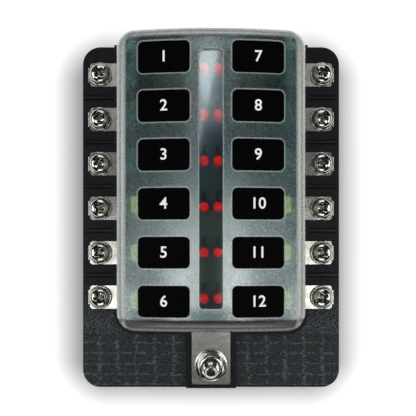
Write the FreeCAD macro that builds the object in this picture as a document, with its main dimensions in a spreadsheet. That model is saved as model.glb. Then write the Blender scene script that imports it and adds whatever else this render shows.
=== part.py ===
import FreeCAD
import Part
import Sketcher
import math
import os
import re

# Blade fuse block with twelve ways. The origin is the middle of the underside, X runs across the block,
# Y runs from the feed stud towards row 1, and Z points up out of the mounting surface.

SIZES = [
    # moulded base
    ("base_width", 87.0),
    ("base_length", 115.4),
    ("base_corner_radius", 6.0),
    ("base_edge_round", 0.5),
    ("deck_height", 18.0),
    ("rib_width", 1.2),
    ("rib_height", 0.5),
    ("rib_round", 0.45),
    ("rib_end_gap", 1.0),
    ("curb_gap", 0.4),
    ("curb_width", 2.4),
    ("curb_height", 2.0),
    ("curb_corner_radius", 7.2),
    ("curb_edge_round", 0.4),
    ("boss_width", 16.8),
    ("boss_height", 1.4),
    ("seat_depth", 1.0),
    ("fuse_deck_height", 21.4),
    ("tower_gap", 0.5),
    ("pocket_wall_gap", 0.3),
    ("seat_gap", 0.1),
    ("overcut", 1.0),
    # rows of fuses
    ("row_pitch", 15.0),
    ("row_middle", 10.4),
    ("fuse_offset", 15.3),
    # mounting holes and back plate
    ("mount_pitch", 60.0),
    ("mount_hole_radius", 2.25),
    ("mount_head_radius", 4.1),
    ("mount_head_depth", 5.4),
    ("plate_thickness", 2.0),
    ("plate_border", 2.5),
    ("plate_gap", 0.15),
    ("plate_corner_radius", 4.0),
    # blade fuse
    ("fuse_width", 19.1),
    ("fuse_thickness", 5.1),
    ("fuse_height", 12.2),
    ("cap_height", 5.0),
    ("waist_inset", 0.35),
    ("waist_side", 2.2),
    ("waist_thickness", 3.9),
    ("fuse_corner_radius", 0.7),
    ("blade_offset", 6.3),
    ("blade_width", 5.2),
    ("blade_thickness", 0.7),
    ("blade_length", 6.5),
    ("blade_tip_cut", 0.8),
    ("blade_slot_gap", 0.1),
    ("element_height", 10.6),
    ("link_width", 0.6),
    ("link_drop", 0.6),
    ("link_half_length", 1.2),
    ("link_rise", 1.8),
    ("blade_shoulder", 0.8),
    ("test_slot_length", 2.4),
    ("test_slot_width", 1.2),
    # contact jaws
    ("contact_thickness", 0.8),
    ("contact_width", 7.8),
    ("contact_floor", 12.0),
    ("jaw_width", 4.8),
    ("jaw_thickness", 0.5),
    ("jaw_foot", 2.2),
    ("jaw_root", 0.2),
    ("jaw_pinch_height", 19.0),
    ("jaw_mouth_height", 20.9),
    ("jaw_mouth", 1.3),
    # output terminals
    ("tab_reach", 41.6),
    ("tab_corner_cut", 0.6),
    ("tab_lip_width", 4.8),
    ("tab_lip_depth", 1.6),
    ("tab_bend_radius", 0.6),
    ("riser_face", 25.4),
    ("screw_offset", 37.3),
    ("collar_radius", 2.7),
    ("collar_depth", 1.6),
    # terminal screws and their cup washers
    ("screw_radius", 1.75),
    ("screw_length", 10.5),
    ("screw_tip_cut", 0.5),
    ("screw_head_radius", 3.25),
    ("screw_head_height", 2.6),
    ("screw_head_round", 1.3),
    ("recess_length", 4.0),
    ("recess_width", 1.1),
    ("recess_depth", 1.6),
    ("recess_taper", 8),
    ("screw_fit", 0.1),
    ("cup_radius", 3.9),
    ("cup_thickness", 0.8),
    ("cup_rim_height", 0.5),
    ("cup_rim_width", 0.4),
    ("cup_rim_slope", 0.1),
    # feed bar and feed stud
    ("bar_thickness", 1.2),
    ("bar_side", 0.5),
    ("feed_tab_width", 13.0),
    ("feed_tab_reach", 56.5),
    ("feed_riser_face", 32.4),
    ("feed_gap", 0.3),
    ("stud_position", 49.8),
    ("stud_radius", 2.5),
    ("stud_top", 31.0),
    ("stud_head_across", 8.0),
    ("stud_head_height", 3.5),
    ("stud_grip", 6.5),
    ("stud_tip_cut", 0.6),
    ("stud_fit", 0.08),
    ("flat_washer_radius", 5.5),
    ("flat_washer_thickness", 0.8),
    ("lock_washer_radius", 4.6),
    ("lock_washer_thickness", 1.2),
    ("lock_washer_split", 1.0),
    ("nut_across", 8.0),
    ("nut_height", 4.0),
    ("nut_corner_cut", 0.35),
    # circuit board and lamps
    ("board_width", 8.6),
    ("board_thickness", 1.6),
    ("board_sink", 0.4),
    ("board_end", 4.4),
    ("lamp_offset", 2.3),
    ("lamp_radius", 1.5),
    ("lamp_flange_radius", 1.6),
    ("lamp_flange_height", 0.6),
    ("lamp_height", 5.3),
    ("resistor_length", 3.2),
    ("resistor_width", 1.6),
    ("resistor_height", 0.6),
    ("resistor_shift", 3.6),
    # clear cover
    ("cover_width", 59.4),
    ("cover_length", 94.4),
    ("cover_crown", 38.0),
    ("cover_arch_radius", 139.0),
    ("cover_wall", 1.6),
    ("cover_corner_radius", 6.0),
    ("cover_edge_round", 3.8),
    ("notch_gap", 0.6),
    ("window_width", 7.2),
    ("window_length", 79.4),
    ("window_sink", 0.8),
    ("window_corner_radius", 1.2),
    ("label_offset", 14.5),
    ("label_width", 16.0),
    ("label_height", 9.7),
    ("label_corner_radius", 1.6),
    ("label_thickness", 0.2),
    ("label_sink", 0.3),
    ("label_gap", 0.2),
]

ROWS = 6
ROW_SHIFT = (ROWS - 1) / 2

# angle of each screw's cross recess about its own axis, as they were tightened
SCREW_TURNS = [52, 2, 20, 65, 38, 12, 28, 70, 5, 44, 60, 33]
NUT_TURN = 17

# heights and places that several pieces share, as formulas of the sizes
SEAT_FLOOR = "(deck_height - seat_depth)"
LAST_ROW = f"(row_middle - row_pitch * {ROW_SHIFT})"
FIRST_ROW = f"(row_middle + row_pitch * {ROW_SHIFT})"
TOWER_WIDTH = "(cover_width - 2 * cover_wall - 2 * tower_gap)"
TOWER_LENGTH = "(cover_length - 2 * cover_wall - 2 * tower_gap)"
CURB_INSIDE = "(cover_width / 2 + curb_gap)"
CURB_OUTSIDE = "(cover_width / 2 + curb_gap + curb_width)"
COVER_END = "(row_middle - cover_length / 2)"
TAB_TOP = "(deck_height + contact_thickness)"
TAB_END = "(tab_reach - contact_thickness)"
FEED_TOP = "(deck_height + bar_thickness)"
BAR_TOP = "(contact_floor + bar_thickness)"
BOARD_BOTTOM = "(fuse_deck_height - board_sink)"
BOARD_TOP = "(fuse_deck_height - board_sink + board_thickness)"
OUTER_JAW = "(fuse_offset + blade_offset)"
INNER_JAW = "(fuse_offset - blade_offset)"
JAW_PINCH = "(blade_thickness / 2)"
CONTACT_END = f"({OUTER_JAW} - blade_width / 2)"
BAR_HALF = f"({INNER_JAW} + blade_width / 2 + bar_side)"
STUD_HEAD_TOP = "(deck_height - stud_grip)"
LOCK_BOTTOM = f"({FEED_TOP} + flat_washer_thickness)"
NUT_BOTTOM = f"({LOCK_BOTTOM} + lock_washer_thickness)"


def make_sheet(doc):
    sheet = doc.addObject("Spreadsheet::Sheet", "Sizes")
    for line, (alias, value) in enumerate(SIZES, start=1):
        sheet.set(f"A{line}", alias.replace("_", " "))
        sheet.set(f"B{line}", str(value))
        sheet.setAlias(f"B{line}", alias)
    doc.recompute()
    return sheet


ALIASES = {alias for alias, value in SIZES}


def formula(text):
    """Write the sheet's name before each size in a formula."""
    def with_sheet(word):
        return f"Sizes.{word.group()}" if word.group() in ALIASES else word.group()

    return re.sub(r"[a-z_]+", with_sheet, str(text))


def bind(thing, field, text):
    thing.setExpression(field, formula(text))


def new_body(doc, label):
    body = doc.addObject("PartDesign::Body", label)
    body.Label = label
    return body


def origin_plane(body, role):
    return [item for item in body.Origin.OriginFeatures if item.Role == role][0]


def new_sketch(body, name, role, offset):
    sketch = body.newObject("Sketcher::SketchObject", name)
    sketch.AttachmentSupport = (origin_plane(body, role), "")
    sketch.MapMode = "FlatFace"
    bind(sketch, "AttachmentOffset.Base.z", offset)
    return sketch


def constrain(sketch, constraint, name, text):
    index = sketch.addConstraint(constraint)
    sketch.renameConstraint(index, name)
    bind(sketch, f"Constraints.{name}", text)


def draw_outline(sketch, corners):
    """Draw a closed outline of straight edges through corners given as pairs of formulas."""
    count = len(corners)
    first = sketch.GeometryCount
    turn = 2 * math.pi / count
    points = [FreeCAD.Vector(10 * math.cos(turn * k), 10 * math.sin(turn * k), 0) for k in range(count)]
    for k in range(count):
        sketch.addGeometry(Part.LineSegment(points[k], points[(k + 1) % count]))
    for k in range(count):
        sketch.addConstraint(Sketcher.Constraint("Coincident", first + k, 2, first + (k + 1) % count, 1))
    for k, (across, along) in enumerate(corners):
        edge = first + k
        constrain(sketch, Sketcher.Constraint("DistanceX", -1, 1, edge, 1, points[k].x), f"across{edge}", across)
        constrain(sketch, Sketcher.Constraint("DistanceY", -1, 1, edge, 1, points[k].y), f"along{edge}", along)


def draw_rectangle(sketch, left, right, low, high):
    draw_outline(sketch, [(left, low), (right, low), (right, high), (left, high)])


def draw_circle(sketch, across, along, radius):
    circle = sketch.addGeometry(Part.Circle(FreeCAD.Vector(1, 1, 0), FreeCAD.Vector(0, 0, 1), 1))
    constrain(sketch, Sketcher.Constraint("DistanceX", -1, 1, circle, 3, 1.0), f"across{circle}", across)
    constrain(sketch, Sketcher.Constraint("DistanceY", -1, 1, circle, 3, 1.0), f"along{circle}", along)
    constrain(sketch, Sketcher.Constraint("Radius", circle, 1.0), f"radius{circle}", radius)


def draw_arch(sketch, sizes, half_width, crown, far_side):
    """Draw the region between an arch of the cover's radius and a level edge above or below it."""
    radius = sizes["cover_arch_radius"]
    width, top, edge = (sizes.value(text) for text in (half_width, crown, far_side))
    centre = top - radius
    spring = centre + math.sqrt(radius ** 2 - width ** 2)
    points = [FreeCAD.Vector(-width, spring, 0), FreeCAD.Vector(-width, edge, 0),
              FreeCAD.Vector(width, edge, 0), FreeCAD.Vector(width, spring, 0)]
    for start, end in zip(points, points[1:]):
        sketch.addGeometry(Part.LineSegment(start, end))
    swing = math.asin(width / radius)
    circle = Part.Circle(FreeCAD.Vector(0, centre, 0), FreeCAD.Vector(0, 0, 1), radius)
    sketch.addGeometry(Part.ArcOfCircle(circle, math.pi / 2 - swing, math.pi / 2 + swing))
    sketch.addConstraint(Sketcher.Constraint("Coincident", 0, 2, 1, 1))
    sketch.addConstraint(Sketcher.Constraint("Coincident", 1, 2, 2, 1))
    sketch.addConstraint(Sketcher.Constraint("Coincident", 2, 2, 3, 1))
    sketch.addConstraint(Sketcher.Constraint("Coincident", 3, 2, 0, 1))
    sketch.addConstraint(Sketcher.Constraint("Vertical", 0))
    sketch.addConstraint(Sketcher.Constraint("Vertical", 2))
    sketch.addConstraint(Sketcher.Constraint("Horizontal", 1))
    sketch.addConstraint(Sketcher.Constraint("PointOnObject", 3, 3, -2))
    constrain(sketch, Sketcher.Constraint("DistanceX", -1, 1, 0, 2, -width), "left", f"-({half_width})")
    constrain(sketch, Sketcher.Constraint("DistanceX", -1, 1, 1, 2, width), "right", half_width)
    constrain(sketch, Sketcher.Constraint("DistanceY", -1, 1, 1, 2, edge), "edge", far_side)
    constrain(sketch, Sketcher.Constraint("Radius", 3, radius), "arch", "cover_arch_radius")
    constrain(sketch, Sketcher.Constraint("DistanceY", -1, 1, 3, 3, centre), "centre",
              f"{crown} - cover_arch_radius")


def pad(body, sketch, length, midplane=False, downward=False):
    feature = body.newObject("PartDesign::Pad", f"{sketch.Name}_pad")
    feature.Profile = sketch
    feature.Midplane = midplane
    feature.Reversed = downward
    bind(feature, "Length", length)
    body.Document.recompute()
    return feature


def pocket(body, sketch, length, midplane=False, upward=False):
    feature = body.newObject("PartDesign::Pocket", f"{sketch.Name}_pocket")
    feature.Profile = sketch
    feature.Midplane = midplane
    feature.Reversed = upward
    bind(feature, "Length", length)
    body.Document.recompute()
    return feature


def revolve(body, sketch):
    feature = body.newObject("PartDesign::Revolution", f"{sketch.Name}_turned")
    feature.Profile = sketch
    feature.ReferenceAxis = (sketch, ["V_Axis"])
    feature.Angle = 360
    body.Document.recompute()
    return feature


NEAR = 0.001


def edge_names(shape, wanted):
    return [f"Edge{k}" for k, edge in enumerate(shape.Edges, start=1) if wanted(edge)]


def is_upright(edge):
    box = edge.BoundBox
    return box.ZLength > NEAR and box.XLength < NEAR and box.YLength < NEAR


def touches_top(solid):
    """A test for the edges that lie in the highest face of a solid."""
    return lambda edge: edge.BoundBox.ZMin > solid.Shape.BoundBox.ZMax - NEAR


def round_edges(body, name, feature, wanted, radius):
    fillet = body.newObject("PartDesign::Fillet", name)
    fillet.Base = (feature, edge_names(feature.Shape, wanted))
    bind(fillet, "Radius", radius)
    body.Document.recompute()
    return fillet


def cut_edges(body, name, feature, wanted, size):
    chamfer = body.newObject("PartDesign::Chamfer", name)
    chamfer.Base = (feature, edge_names(feature.Shape, wanted))
    bind(chamfer, "Size", size)
    body.Document.recompute()
    return chamfer


def repeat_rows(body, name, originals, both_sides=True, pitch="row_pitch", count=ROWS):
    """Repeat features along the rows and, for both columns, mirror them across the middle."""
    doc = body.Document
    pattern = body.newObject("PartDesign::MultiTransform", name)
    rows = doc.addObject("PartDesign::LinearPattern", f"{name}_rows")
    rows.Direction = (origin_plane(body, "Y_Axis"), [""])
    rows.Mode = "Spacing"
    rows.Occurrences = count
    bind(rows, "Offset", pitch)
    steps = [rows]
    if both_sides:
        columns = doc.addObject("PartDesign::Mirrored", f"{name}_columns")
        columns.MirrorPlane = (origin_plane(body, "YZ_Plane"), [""])
        steps.append(columns)
    pattern.Originals = originals
    pattern.Transformations = steps
    body.Tip = pattern
    doc.recompute()
    return pattern


def mirror_across_row(body, name, originals):
    mirror = body.newObject("PartDesign::Mirrored", name)
    mirror.Originals = originals
    mirror.MirrorPlane = (origin_plane(body, "XZ_Plane"), [""])
    body.Tip = mirror
    body.Document.recompute()
    return mirror


def place(body, across="0", along="0", up="0", turn=0):
    body.Placement = FreeCAD.Placement(FreeCAD.Vector(), FreeCAD.Rotation(FreeCAD.Vector(0, 0, 1), turn))
    bind(body, "Placement.Base.x", across)
    bind(body, "Placement.Base.y", along)
    bind(body, "Placement.Base.z", up)


def side_and_row(number):
    """Ways 1 to 6 run down the left column from row 1, ways 7 to 12 down the right one."""
    side = -1 if number <= ROWS else 1
    row = (number - 1) % ROWS
    return side, f"row_middle + row_pitch * {ROW_SHIFT - row}"


def draw_hexagon(sketch, across_flats):
    corner = f"({across_flats}) / 2 / cos(30)"
    corners = [(f"{corner} * cos({60 * k})", f"{corner} * sin({60 * k})") for k in range(6)]
    draw_outline(sketch, corners)


def base_block(body, sizes):
    """The block, the raised curb that holds the cover's skirt and the boss that carries the feed tab."""
    block = new_sketch(body, "base_outline", "XY_Plane", "0")
    draw_rectangle(block, "-base_width / 2", "base_width / 2", "-base_length / 2", "base_length / 2")
    solid = pad(body, block, "deck_height")
    round_edges(body, "base_corners", solid, is_upright, "base_corner_radius")
    curb = new_sketch(body, "curb", "XY_Plane", "deck_height")
    draw_rectangle(curb, f"-{CURB_OUTSIDE}", CURB_OUTSIDE,
                   f"{COVER_END} - curb_gap - curb_width", "base_length / 2")
    solid = pad(body, curb, "curb_height")

    def on_curb_corner(edge):
        return is_upright(edge) and edge.BoundBox.ZMin > sizes["deck_height"] - NEAR and edge.BoundBox.YMax < 0

    solid = round_edges(body, "curb_corners", solid, on_curb_corner, "curb_corner_radius")
    round_edges(body, "curb_top_edge", solid, touches_top(solid), "curb_edge_round")
    boss = new_sketch(body, "feed_boss", "XY_Plane", "deck_height")
    draw_rectangle(boss, "-boss_width / 2", "boss_width / 2", "-base_length / 2", COVER_END)
    solid = pad(body, boss, "boss_height")

    def on_outline(edge):
        box = edge.BoundBox
        at_deck = abs(box.ZMin - sizes["deck_height"]) < NEAR and box.ZLength < NEAR
        along_side = box.YLength > NEAR and max(-box.XMin, box.XMax) > sizes["base_width"] / 2 - NEAR
        along_end = box.XLength > NEAR and max(-box.YMin, box.YMax) > sizes["base_length"] / 2 - NEAR
        return at_deck and (along_side or along_end)

    return round_edges(body, "base_top_edge", solid, on_outline, "base_edge_round")


def base_tower(body, sizes):
    """The sunk seat that takes the cover's skirt, and the tower that fills the inside of the cover."""
    seat = new_sketch(body, "cover_seat", "XY_Plane", "deck_height + curb_height")
    draw_rectangle(seat, f"-{CURB_INSIDE}", CURB_INSIDE, f"{COVER_END} - curb_gap", "base_length / 2 + overcut")
    solid = pocket(body, seat, "seat_depth + curb_height")

    def in_seat(edge):
        box = edge.BoundBox
        return is_upright(edge) and abs(box.ZMin - sizes.value(SEAT_FLOOR)) < NEAR and box.YMax < 0

    round_edges(body, "seat_corners", solid, in_seat, "cover_corner_radius + curb_gap")
    tower = new_sketch(body, "tower", "XY_Plane", SEAT_FLOOR)
    draw_rectangle(tower, f"-{TOWER_WIDTH} / 2", f"{TOWER_WIDTH} / 2",
                   f"row_middle - {TOWER_LENGTH} / 2", f"row_middle + {TOWER_LENGTH} / 2")
    solid = pad(body, tower, f"fuse_deck_height - {SEAT_FLOOR}")

    def on_tower(edge):
        return is_upright(edge) and edge.BoundBox.ZMax > solid.Shape.BoundBox.ZMax - NEAR

    return round_edges(body, "tower_corners", solid, on_tower, "cover_corner_radius - cover_wall - tower_gap")


def base_ribs(body, sizes):
    """The ribs between neighbouring terminals."""
    rib = new_sketch(body, "rib", "XY_Plane", "deck_height")
    draw_rectangle(rib, f"{CURB_OUTSIDE} - seat_gap", "base_width / 2 - rib_end_gap",
                   f"{LAST_ROW} + (row_pitch - rib_width) / 2", f"{LAST_ROW} + (row_pitch + rib_width) / 2")
    solid = repeat_rows(body, "ribs", [pad(body, rib, "rib_height")], count=ROWS - 1)
    top = sizes["deck_height"] + sizes["rib_height"]

    def on_rib(edge):
        box = edge.BoundBox
        along_x = box.YLength < NEAR and box.ZLength < NEAR
        return along_x and abs(box.ZMin - top) < NEAR and abs(box.Center.x) > sizes.value(CURB_OUTSIDE)

    return round_edges(body, "rib_tops", solid, on_rib, "rib_round")


def base_row_cuts(body):
    """Everything that one way needs in the base, repeated for the six rows and both columns."""
    outer = new_sketch(body, "outer_pocket", "XY_Plane", "fuse_deck_height")
    draw_rectangle(outer, f"{CONTACT_END} - pocket_wall_gap", "riser_face + contact_thickness",
                   f"{LAST_ROW} - contact_width / 2 - pocket_wall_gap",
                   f"{LAST_ROW} + contact_width / 2 + pocket_wall_gap")
    entry = new_sketch(body, "entry", "XY_Plane", "fuse_deck_height")
    draw_rectangle(entry, "riser_face", f"{CURB_OUTSIDE} + overcut",
                   f"{LAST_ROW} - contact_width / 2 - pocket_wall_gap",
                   f"{LAST_ROW} + contact_width / 2 + pocket_wall_gap")
    inner = new_sketch(body, "inner_pocket", "XY_Plane", "fuse_deck_height")
    draw_rectangle(inner, f"{INNER_JAW} - blade_width / 2 - pocket_wall_gap",
                   f"{INNER_JAW} + blade_width / 2 + pocket_wall_gap",
                   f"{LAST_ROW} - jaw_foot - jaw_thickness - pocket_wall_gap",
                   f"{LAST_ROW} + jaw_foot + jaw_thickness + pocket_wall_gap")
    collar = new_sketch(body, "collar_bore", "XY_Plane", "deck_height")
    draw_circle(collar, "screw_offset", LAST_ROW, "collar_radius + pocket_wall_gap")
    bore = new_sketch(body, "screw_bore", "XY_Plane", "deck_height")
    draw_circle(bore, "screw_offset", LAST_ROW, "screw_radius + pocket_wall_gap")
    lip = new_sketch(body, "lip_slot", "XY_Plane", "deck_height")
    draw_rectangle(lip, f"{TAB_END} - seat_gap", "tab_reach + seat_gap",
                   f"{LAST_ROW} - tab_lip_width / 2 - seat_gap", f"{LAST_ROW} + tab_lip_width / 2 + seat_gap")
    cuts = [
        pocket(body, outer, "fuse_deck_height - contact_floor"),
        pocket(body, entry, "fuse_deck_height - deck_height"),
        pocket(body, inner, f"fuse_deck_height - {BAR_TOP}"),
        pocket(body, collar, "collar_depth + pocket_wall_gap"),
        pocket(body, bore, "screw_length"),
        pocket(body, lip, "tab_lip_depth + pocket_wall_gap"),
    ]
    return repeat_rows(body, "row_cuts", cuts)


def base_middle_cuts(body):
    """Seats of the circuit board, the feed bar and the feed stud."""
    board = new_sketch(body, "board_seat", "XY_Plane", "fuse_deck_height")
    draw_rectangle(board, "-board_width / 2 - seat_gap", "board_width / 2 + seat_gap",
                   f"{LAST_ROW} - board_end - seat_gap", f"{FIRST_ROW} + board_end + seat_gap")
    pocket(body, board, "board_sink")
    bar = new_sketch(body, "bar_seat", "XY_Plane", BAR_TOP)
    draw_rectangle(bar, f"-{BAR_HALF}", BAR_HALF,
                   "-feed_riser_face - bar_thickness", f"{FIRST_ROW} + contact_width / 2")
    pocket(body, bar, "bar_thickness")
    riser = new_sketch(body, "riser_seat", "XY_Plane", "fuse_deck_height")
    draw_rectangle(riser, "-feed_tab_width / 2", "feed_tab_width / 2",
                   "-feed_riser_face - bar_thickness", "-feed_riser_face")
    pocket(body, riser, "fuse_deck_height - contact_floor")
    channel = new_sketch(body, "feed_channel", "XY_Plane", "fuse_deck_height")
    draw_rectangle(channel, "-feed_tab_width / 2 - feed_gap", "feed_tab_width / 2 + feed_gap",
                   "-feed_tab_reach - feed_gap", "-feed_riser_face - bar_thickness")
    pocket(body, channel, "fuse_deck_height - deck_height")
    head = new_sketch(body, "stud_head_seat", "XY_Plane", "plate_thickness")
    bind(head, "AttachmentOffset.Base.y", "-stud_position")
    draw_hexagon(head, "stud_head_across + 2 * seat_gap")
    pocket(body, head, f"{STUD_HEAD_TOP} - plate_thickness", upward=True)
    bore = new_sketch(body, "stud_bore", "XY_Plane", "deck_height")
    draw_circle(bore, "0", "-stud_position", "stud_radius + stud_fit")
    return pocket(body, bore, "deck_height")


def base_mounting(body):
    """Recess of the back plate and the four mounting holes with their head seats."""
    plate = new_sketch(body, "plate_seat", "XY_Plane", "0")
    draw_rectangle(plate, "-base_width / 2 + plate_border", "base_width / 2 - plate_border",
                   "-base_length / 2 + plate_border", "base_length / 2 - plate_border")
    solid = pocket(body, plate, "plate_thickness", upward=True)

    def in_recess(edge):
        inside = abs(edge.BoundBox.ZMin) < NEAR and edge.BoundBox.ZMax < solid.Shape.BoundBox.ZMax / 2
        return is_upright(edge) and inside

    round_edges(body, "plate_seat_corners", solid, in_recess, "plate_corner_radius + plate_gap")
    head = new_sketch(body, "mount_head", "XY_Plane", "fuse_deck_height")
    draw_circle(head, "fuse_offset", "row_middle - mount_pitch / 2", "mount_head_radius")
    hole = new_sketch(body, "mount_hole", "XY_Plane", "fuse_deck_height")
    draw_circle(hole, "fuse_offset", "row_middle - mount_pitch / 2", "mount_hole_radius")
    cuts = [pocket(body, head, "mount_head_depth"), pocket(body, hole, "fuse_deck_height")]
    return repeat_rows(body, "mounts", cuts, pitch="mount_pitch", count=2)


def make_base(doc, sizes):
    body = new_body(doc, "base_housing")
    base_block(body, sizes)
    base_tower(body, sizes)
    base_ribs(body, sizes)
    base_row_cuts(body)
    base_middle_cuts(body)
    base_mounting(body)
    return body


def make_back_plate(doc):
    body = new_body(doc, "back_plate")
    outline = new_sketch(body, "plate_outline", "XY_Plane", "0")
    draw_rectangle(outline, "-base_width / 2 + plate_border + plate_gap",
                   "base_width / 2 - plate_border - plate_gap",
                   "-base_length / 2 + plate_border + plate_gap",
                   "base_length / 2 - plate_border - plate_gap")
    solid = pad(body, outline, "plate_thickness")
    round_edges(body, "plate_corners", solid, is_upright, "plate_corner_radius")
    hole = new_sketch(body, "plate_hole", "XY_Plane", "plate_thickness")
    draw_circle(hole, "fuse_offset", "row_middle - mount_pitch / 2", "mount_hole_radius")
    cut = pocket(body, hole, "plate_thickness")
    repeat_rows(body, "plate_holes", [cut], pitch="mount_pitch", count=2)
    return body


def jaw_pair(body, name, middle, row, foot):
    """Two spring leaves that rise from a strip, pinch a blade and flare open at the top."""
    leaf = new_sketch(body, f"{name}_leaf", "YZ_Plane", f"{middle} - jaw_width / 2")
    draw_outline(leaf, [
        (f"{row} + jaw_foot", f"{foot} - jaw_root"),
        (f"{row} + jaw_foot + jaw_thickness", f"{foot} - jaw_root"),
        (f"{row} + jaw_foot + jaw_thickness", foot),
        (f"{row} + {JAW_PINCH} + jaw_thickness", "jaw_pinch_height"),
        (f"{row} + jaw_mouth + jaw_thickness", "jaw_mouth_height"),
        (f"{row} + jaw_mouth", "jaw_mouth_height"),
        (f"{row} + {JAW_PINCH}", "jaw_pinch_height"),
        (f"{row} + jaw_foot", foot),
    ])
    right = pad(body, leaf, "jaw_width")
    other = new_sketch(body, f"{name}_other_leaf", "YZ_Plane", f"{middle} - jaw_width / 2")
    draw_outline(other, [
        (f"{row} - jaw_foot", f"{foot} - jaw_root"),
        (f"{row} - jaw_foot", foot),
        (f"{row} - {JAW_PINCH}", "jaw_pinch_height"),
        (f"{row} - jaw_mouth", "jaw_mouth_height"),
        (f"{row} - jaw_mouth - jaw_thickness", "jaw_mouth_height"),
        (f"{row} - {JAW_PINCH} - jaw_thickness", "jaw_pinch_height"),
        (f"{row} - jaw_foot - jaw_thickness", foot),
        (f"{row} - jaw_foot - jaw_thickness", f"{foot} - jaw_root"),
    ])
    left = pad(body, other, "jaw_width")
    return [right, left]


def make_feed_bar(doc):
    """The common bar under the board, with a jaw for every fuse and a tab for the feed stud."""
    body = new_body(doc, "bus_bar")
    flat = new_sketch(body, "bar_outline", "XY_Plane", "contact_floor")
    draw_rectangle(flat, f"-{BAR_HALF}", BAR_HALF,
                   "-feed_riser_face - bar_thickness", f"{FIRST_ROW} + contact_width / 2")
    pad(body, flat, "bar_thickness")
    side = new_sketch(body, "feed_profile", "YZ_Plane", "0")
    draw_outline(side, [
        ("-feed_riser_face", "contact_floor"),
        ("-feed_riser_face", FEED_TOP),
        ("-feed_tab_reach", FEED_TOP),
        ("-feed_tab_reach", "deck_height"),
        ("-feed_riser_face - bar_thickness", "deck_height"),
        ("-feed_riser_face - bar_thickness", "contact_floor"),
    ])
    pad(body, side, "feed_tab_width", midplane=True)
    hole = new_sketch(body, "stud_hole", "XY_Plane", FEED_TOP)
    draw_circle(hole, "0", "-stud_position", "stud_radius + stud_fit")
    pocket(body, hole, "bar_thickness")
    jaws = jaw_pair(body, "inner", INNER_JAW, LAST_ROW, BAR_TOP)
    repeat_rows(body, "inner_jaws", jaws)
    return body


def make_output_terminal(doc, sizes, number):
    """A strip from the screw tab down into the base, with a jaw for the fuse's outer blade."""
    side, row = side_and_row(number)
    body = new_body(doc, f"output_terminal_{number:02d}")
    profile = new_sketch(body, f"strip_profile_{number}", "XZ_Plane", "0")
    floor_top = "contact_floor + contact_thickness"
    draw_outline(profile, [
        (TAB_END, "deck_height"),
        (TAB_END, TAB_TOP),
        ("riser_face", TAB_TOP),
        ("riser_face", floor_top),
        (CONTACT_END, floor_top),
        (CONTACT_END, "contact_floor"),
        ("riser_face + contact_thickness", "contact_floor"),
        ("riser_face + contact_thickness", "deck_height"),
    ])
    solid = pad(body, profile, "contact_width", midplane=True)

    def at_tab_corner(edge):
        return is_upright(edge) and edge.BoundBox.XMin > solid.Shape.BoundBox.XMax - NEAR

    cut_edges(body, f"tab_corners_{number}", solid, at_tab_corner, "tab_corner_cut")
    lip = new_sketch(body, f"lip_{number}", "XY_Plane", TAB_TOP)
    draw_rectangle(lip, TAB_END, "tab_reach", "-tab_lip_width / 2", "tab_lip_width / 2")
    lip_pad = pad(body, lip, "contact_thickness + tab_lip_depth", downward=True)

    def on_bend(edge):
        return edge.BoundBox.XMin > sizes["tab_reach"] - NEAR and touches_top(lip_pad)(edge)

    round_edges(body, f"tab_bend_{number}", lip_pad, on_bend, "tab_bend_radius")
    collar = new_sketch(body, f"collar_{number}", "XY_Plane", "deck_height")
    draw_circle(collar, "screw_offset", "0", "collar_radius")
    pad(body, collar, "collar_depth", downward=True)
    hole = new_sketch(body, f"tapped_hole_{number}", "XY_Plane", TAB_TOP)
    draw_circle(hole, "screw_offset", "0", "screw_radius + screw_fit")
    pocket(body, hole, "contact_thickness + collar_depth")
    jaw_pair(body, f"outer_{number}", OUTER_JAW, "0", floor_top)
    place(body, along=row, turn=0 if side > 0 else 180)
    return body


def make_feed_stud(doc):
    body = new_body(doc, "feed_stud")
    head = new_sketch(body, "stud_head", "XY_Plane", f"{STUD_HEAD_TOP} - stud_head_height")
    draw_hexagon(head, "stud_head_across")
    pad(body, head, "stud_head_height")
    shank = new_sketch(body, "stud_shank", "XY_Plane", STUD_HEAD_TOP)
    draw_circle(shank, "0", "0", "stud_radius")
    solid = pad(body, shank, f"stud_top - {STUD_HEAD_TOP}")
    cut_edges(body, "stud_tip", solid, touches_top(solid), "stud_tip_cut")
    place(body, along="-stud_position")
    return body


def draw_ring(body, name, inner, outer, low, high):
    ring = new_sketch(body, name, "XZ_Plane", "0")
    draw_rectangle(ring, inner, outer, low, high)
    return revolve(body, ring)


def make_stud_flat_washer(doc):
    body = new_body(doc, "stud_flat_washer")
    draw_ring(body, "flat_ring", "stud_radius + stud_fit", "flat_washer_radius", "0", "flat_washer_thickness")
    place(body, along="-stud_position", up=FEED_TOP)
    return body


def make_stud_lock_washer(doc):
    body = new_body(doc, "stud_lock_washer")
    draw_ring(body, "lock_ring", "stud_radius + stud_fit", "lock_washer_radius", "0", "lock_washer_thickness")
    split = new_sketch(body, "lock_split", "XY_Plane", "lock_washer_thickness")
    draw_outline(split, [
        ("0", "-lock_washer_split / 2"),
        ("lock_washer_radius + overcut", "0"),
        ("lock_washer_radius + overcut", "lock_washer_split"),
        ("0", "lock_washer_split / 2"),
    ])
    pocket(body, split, "lock_washer_thickness")
    place(body, along="-stud_position", up=LOCK_BOTTOM)
    return body


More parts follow.
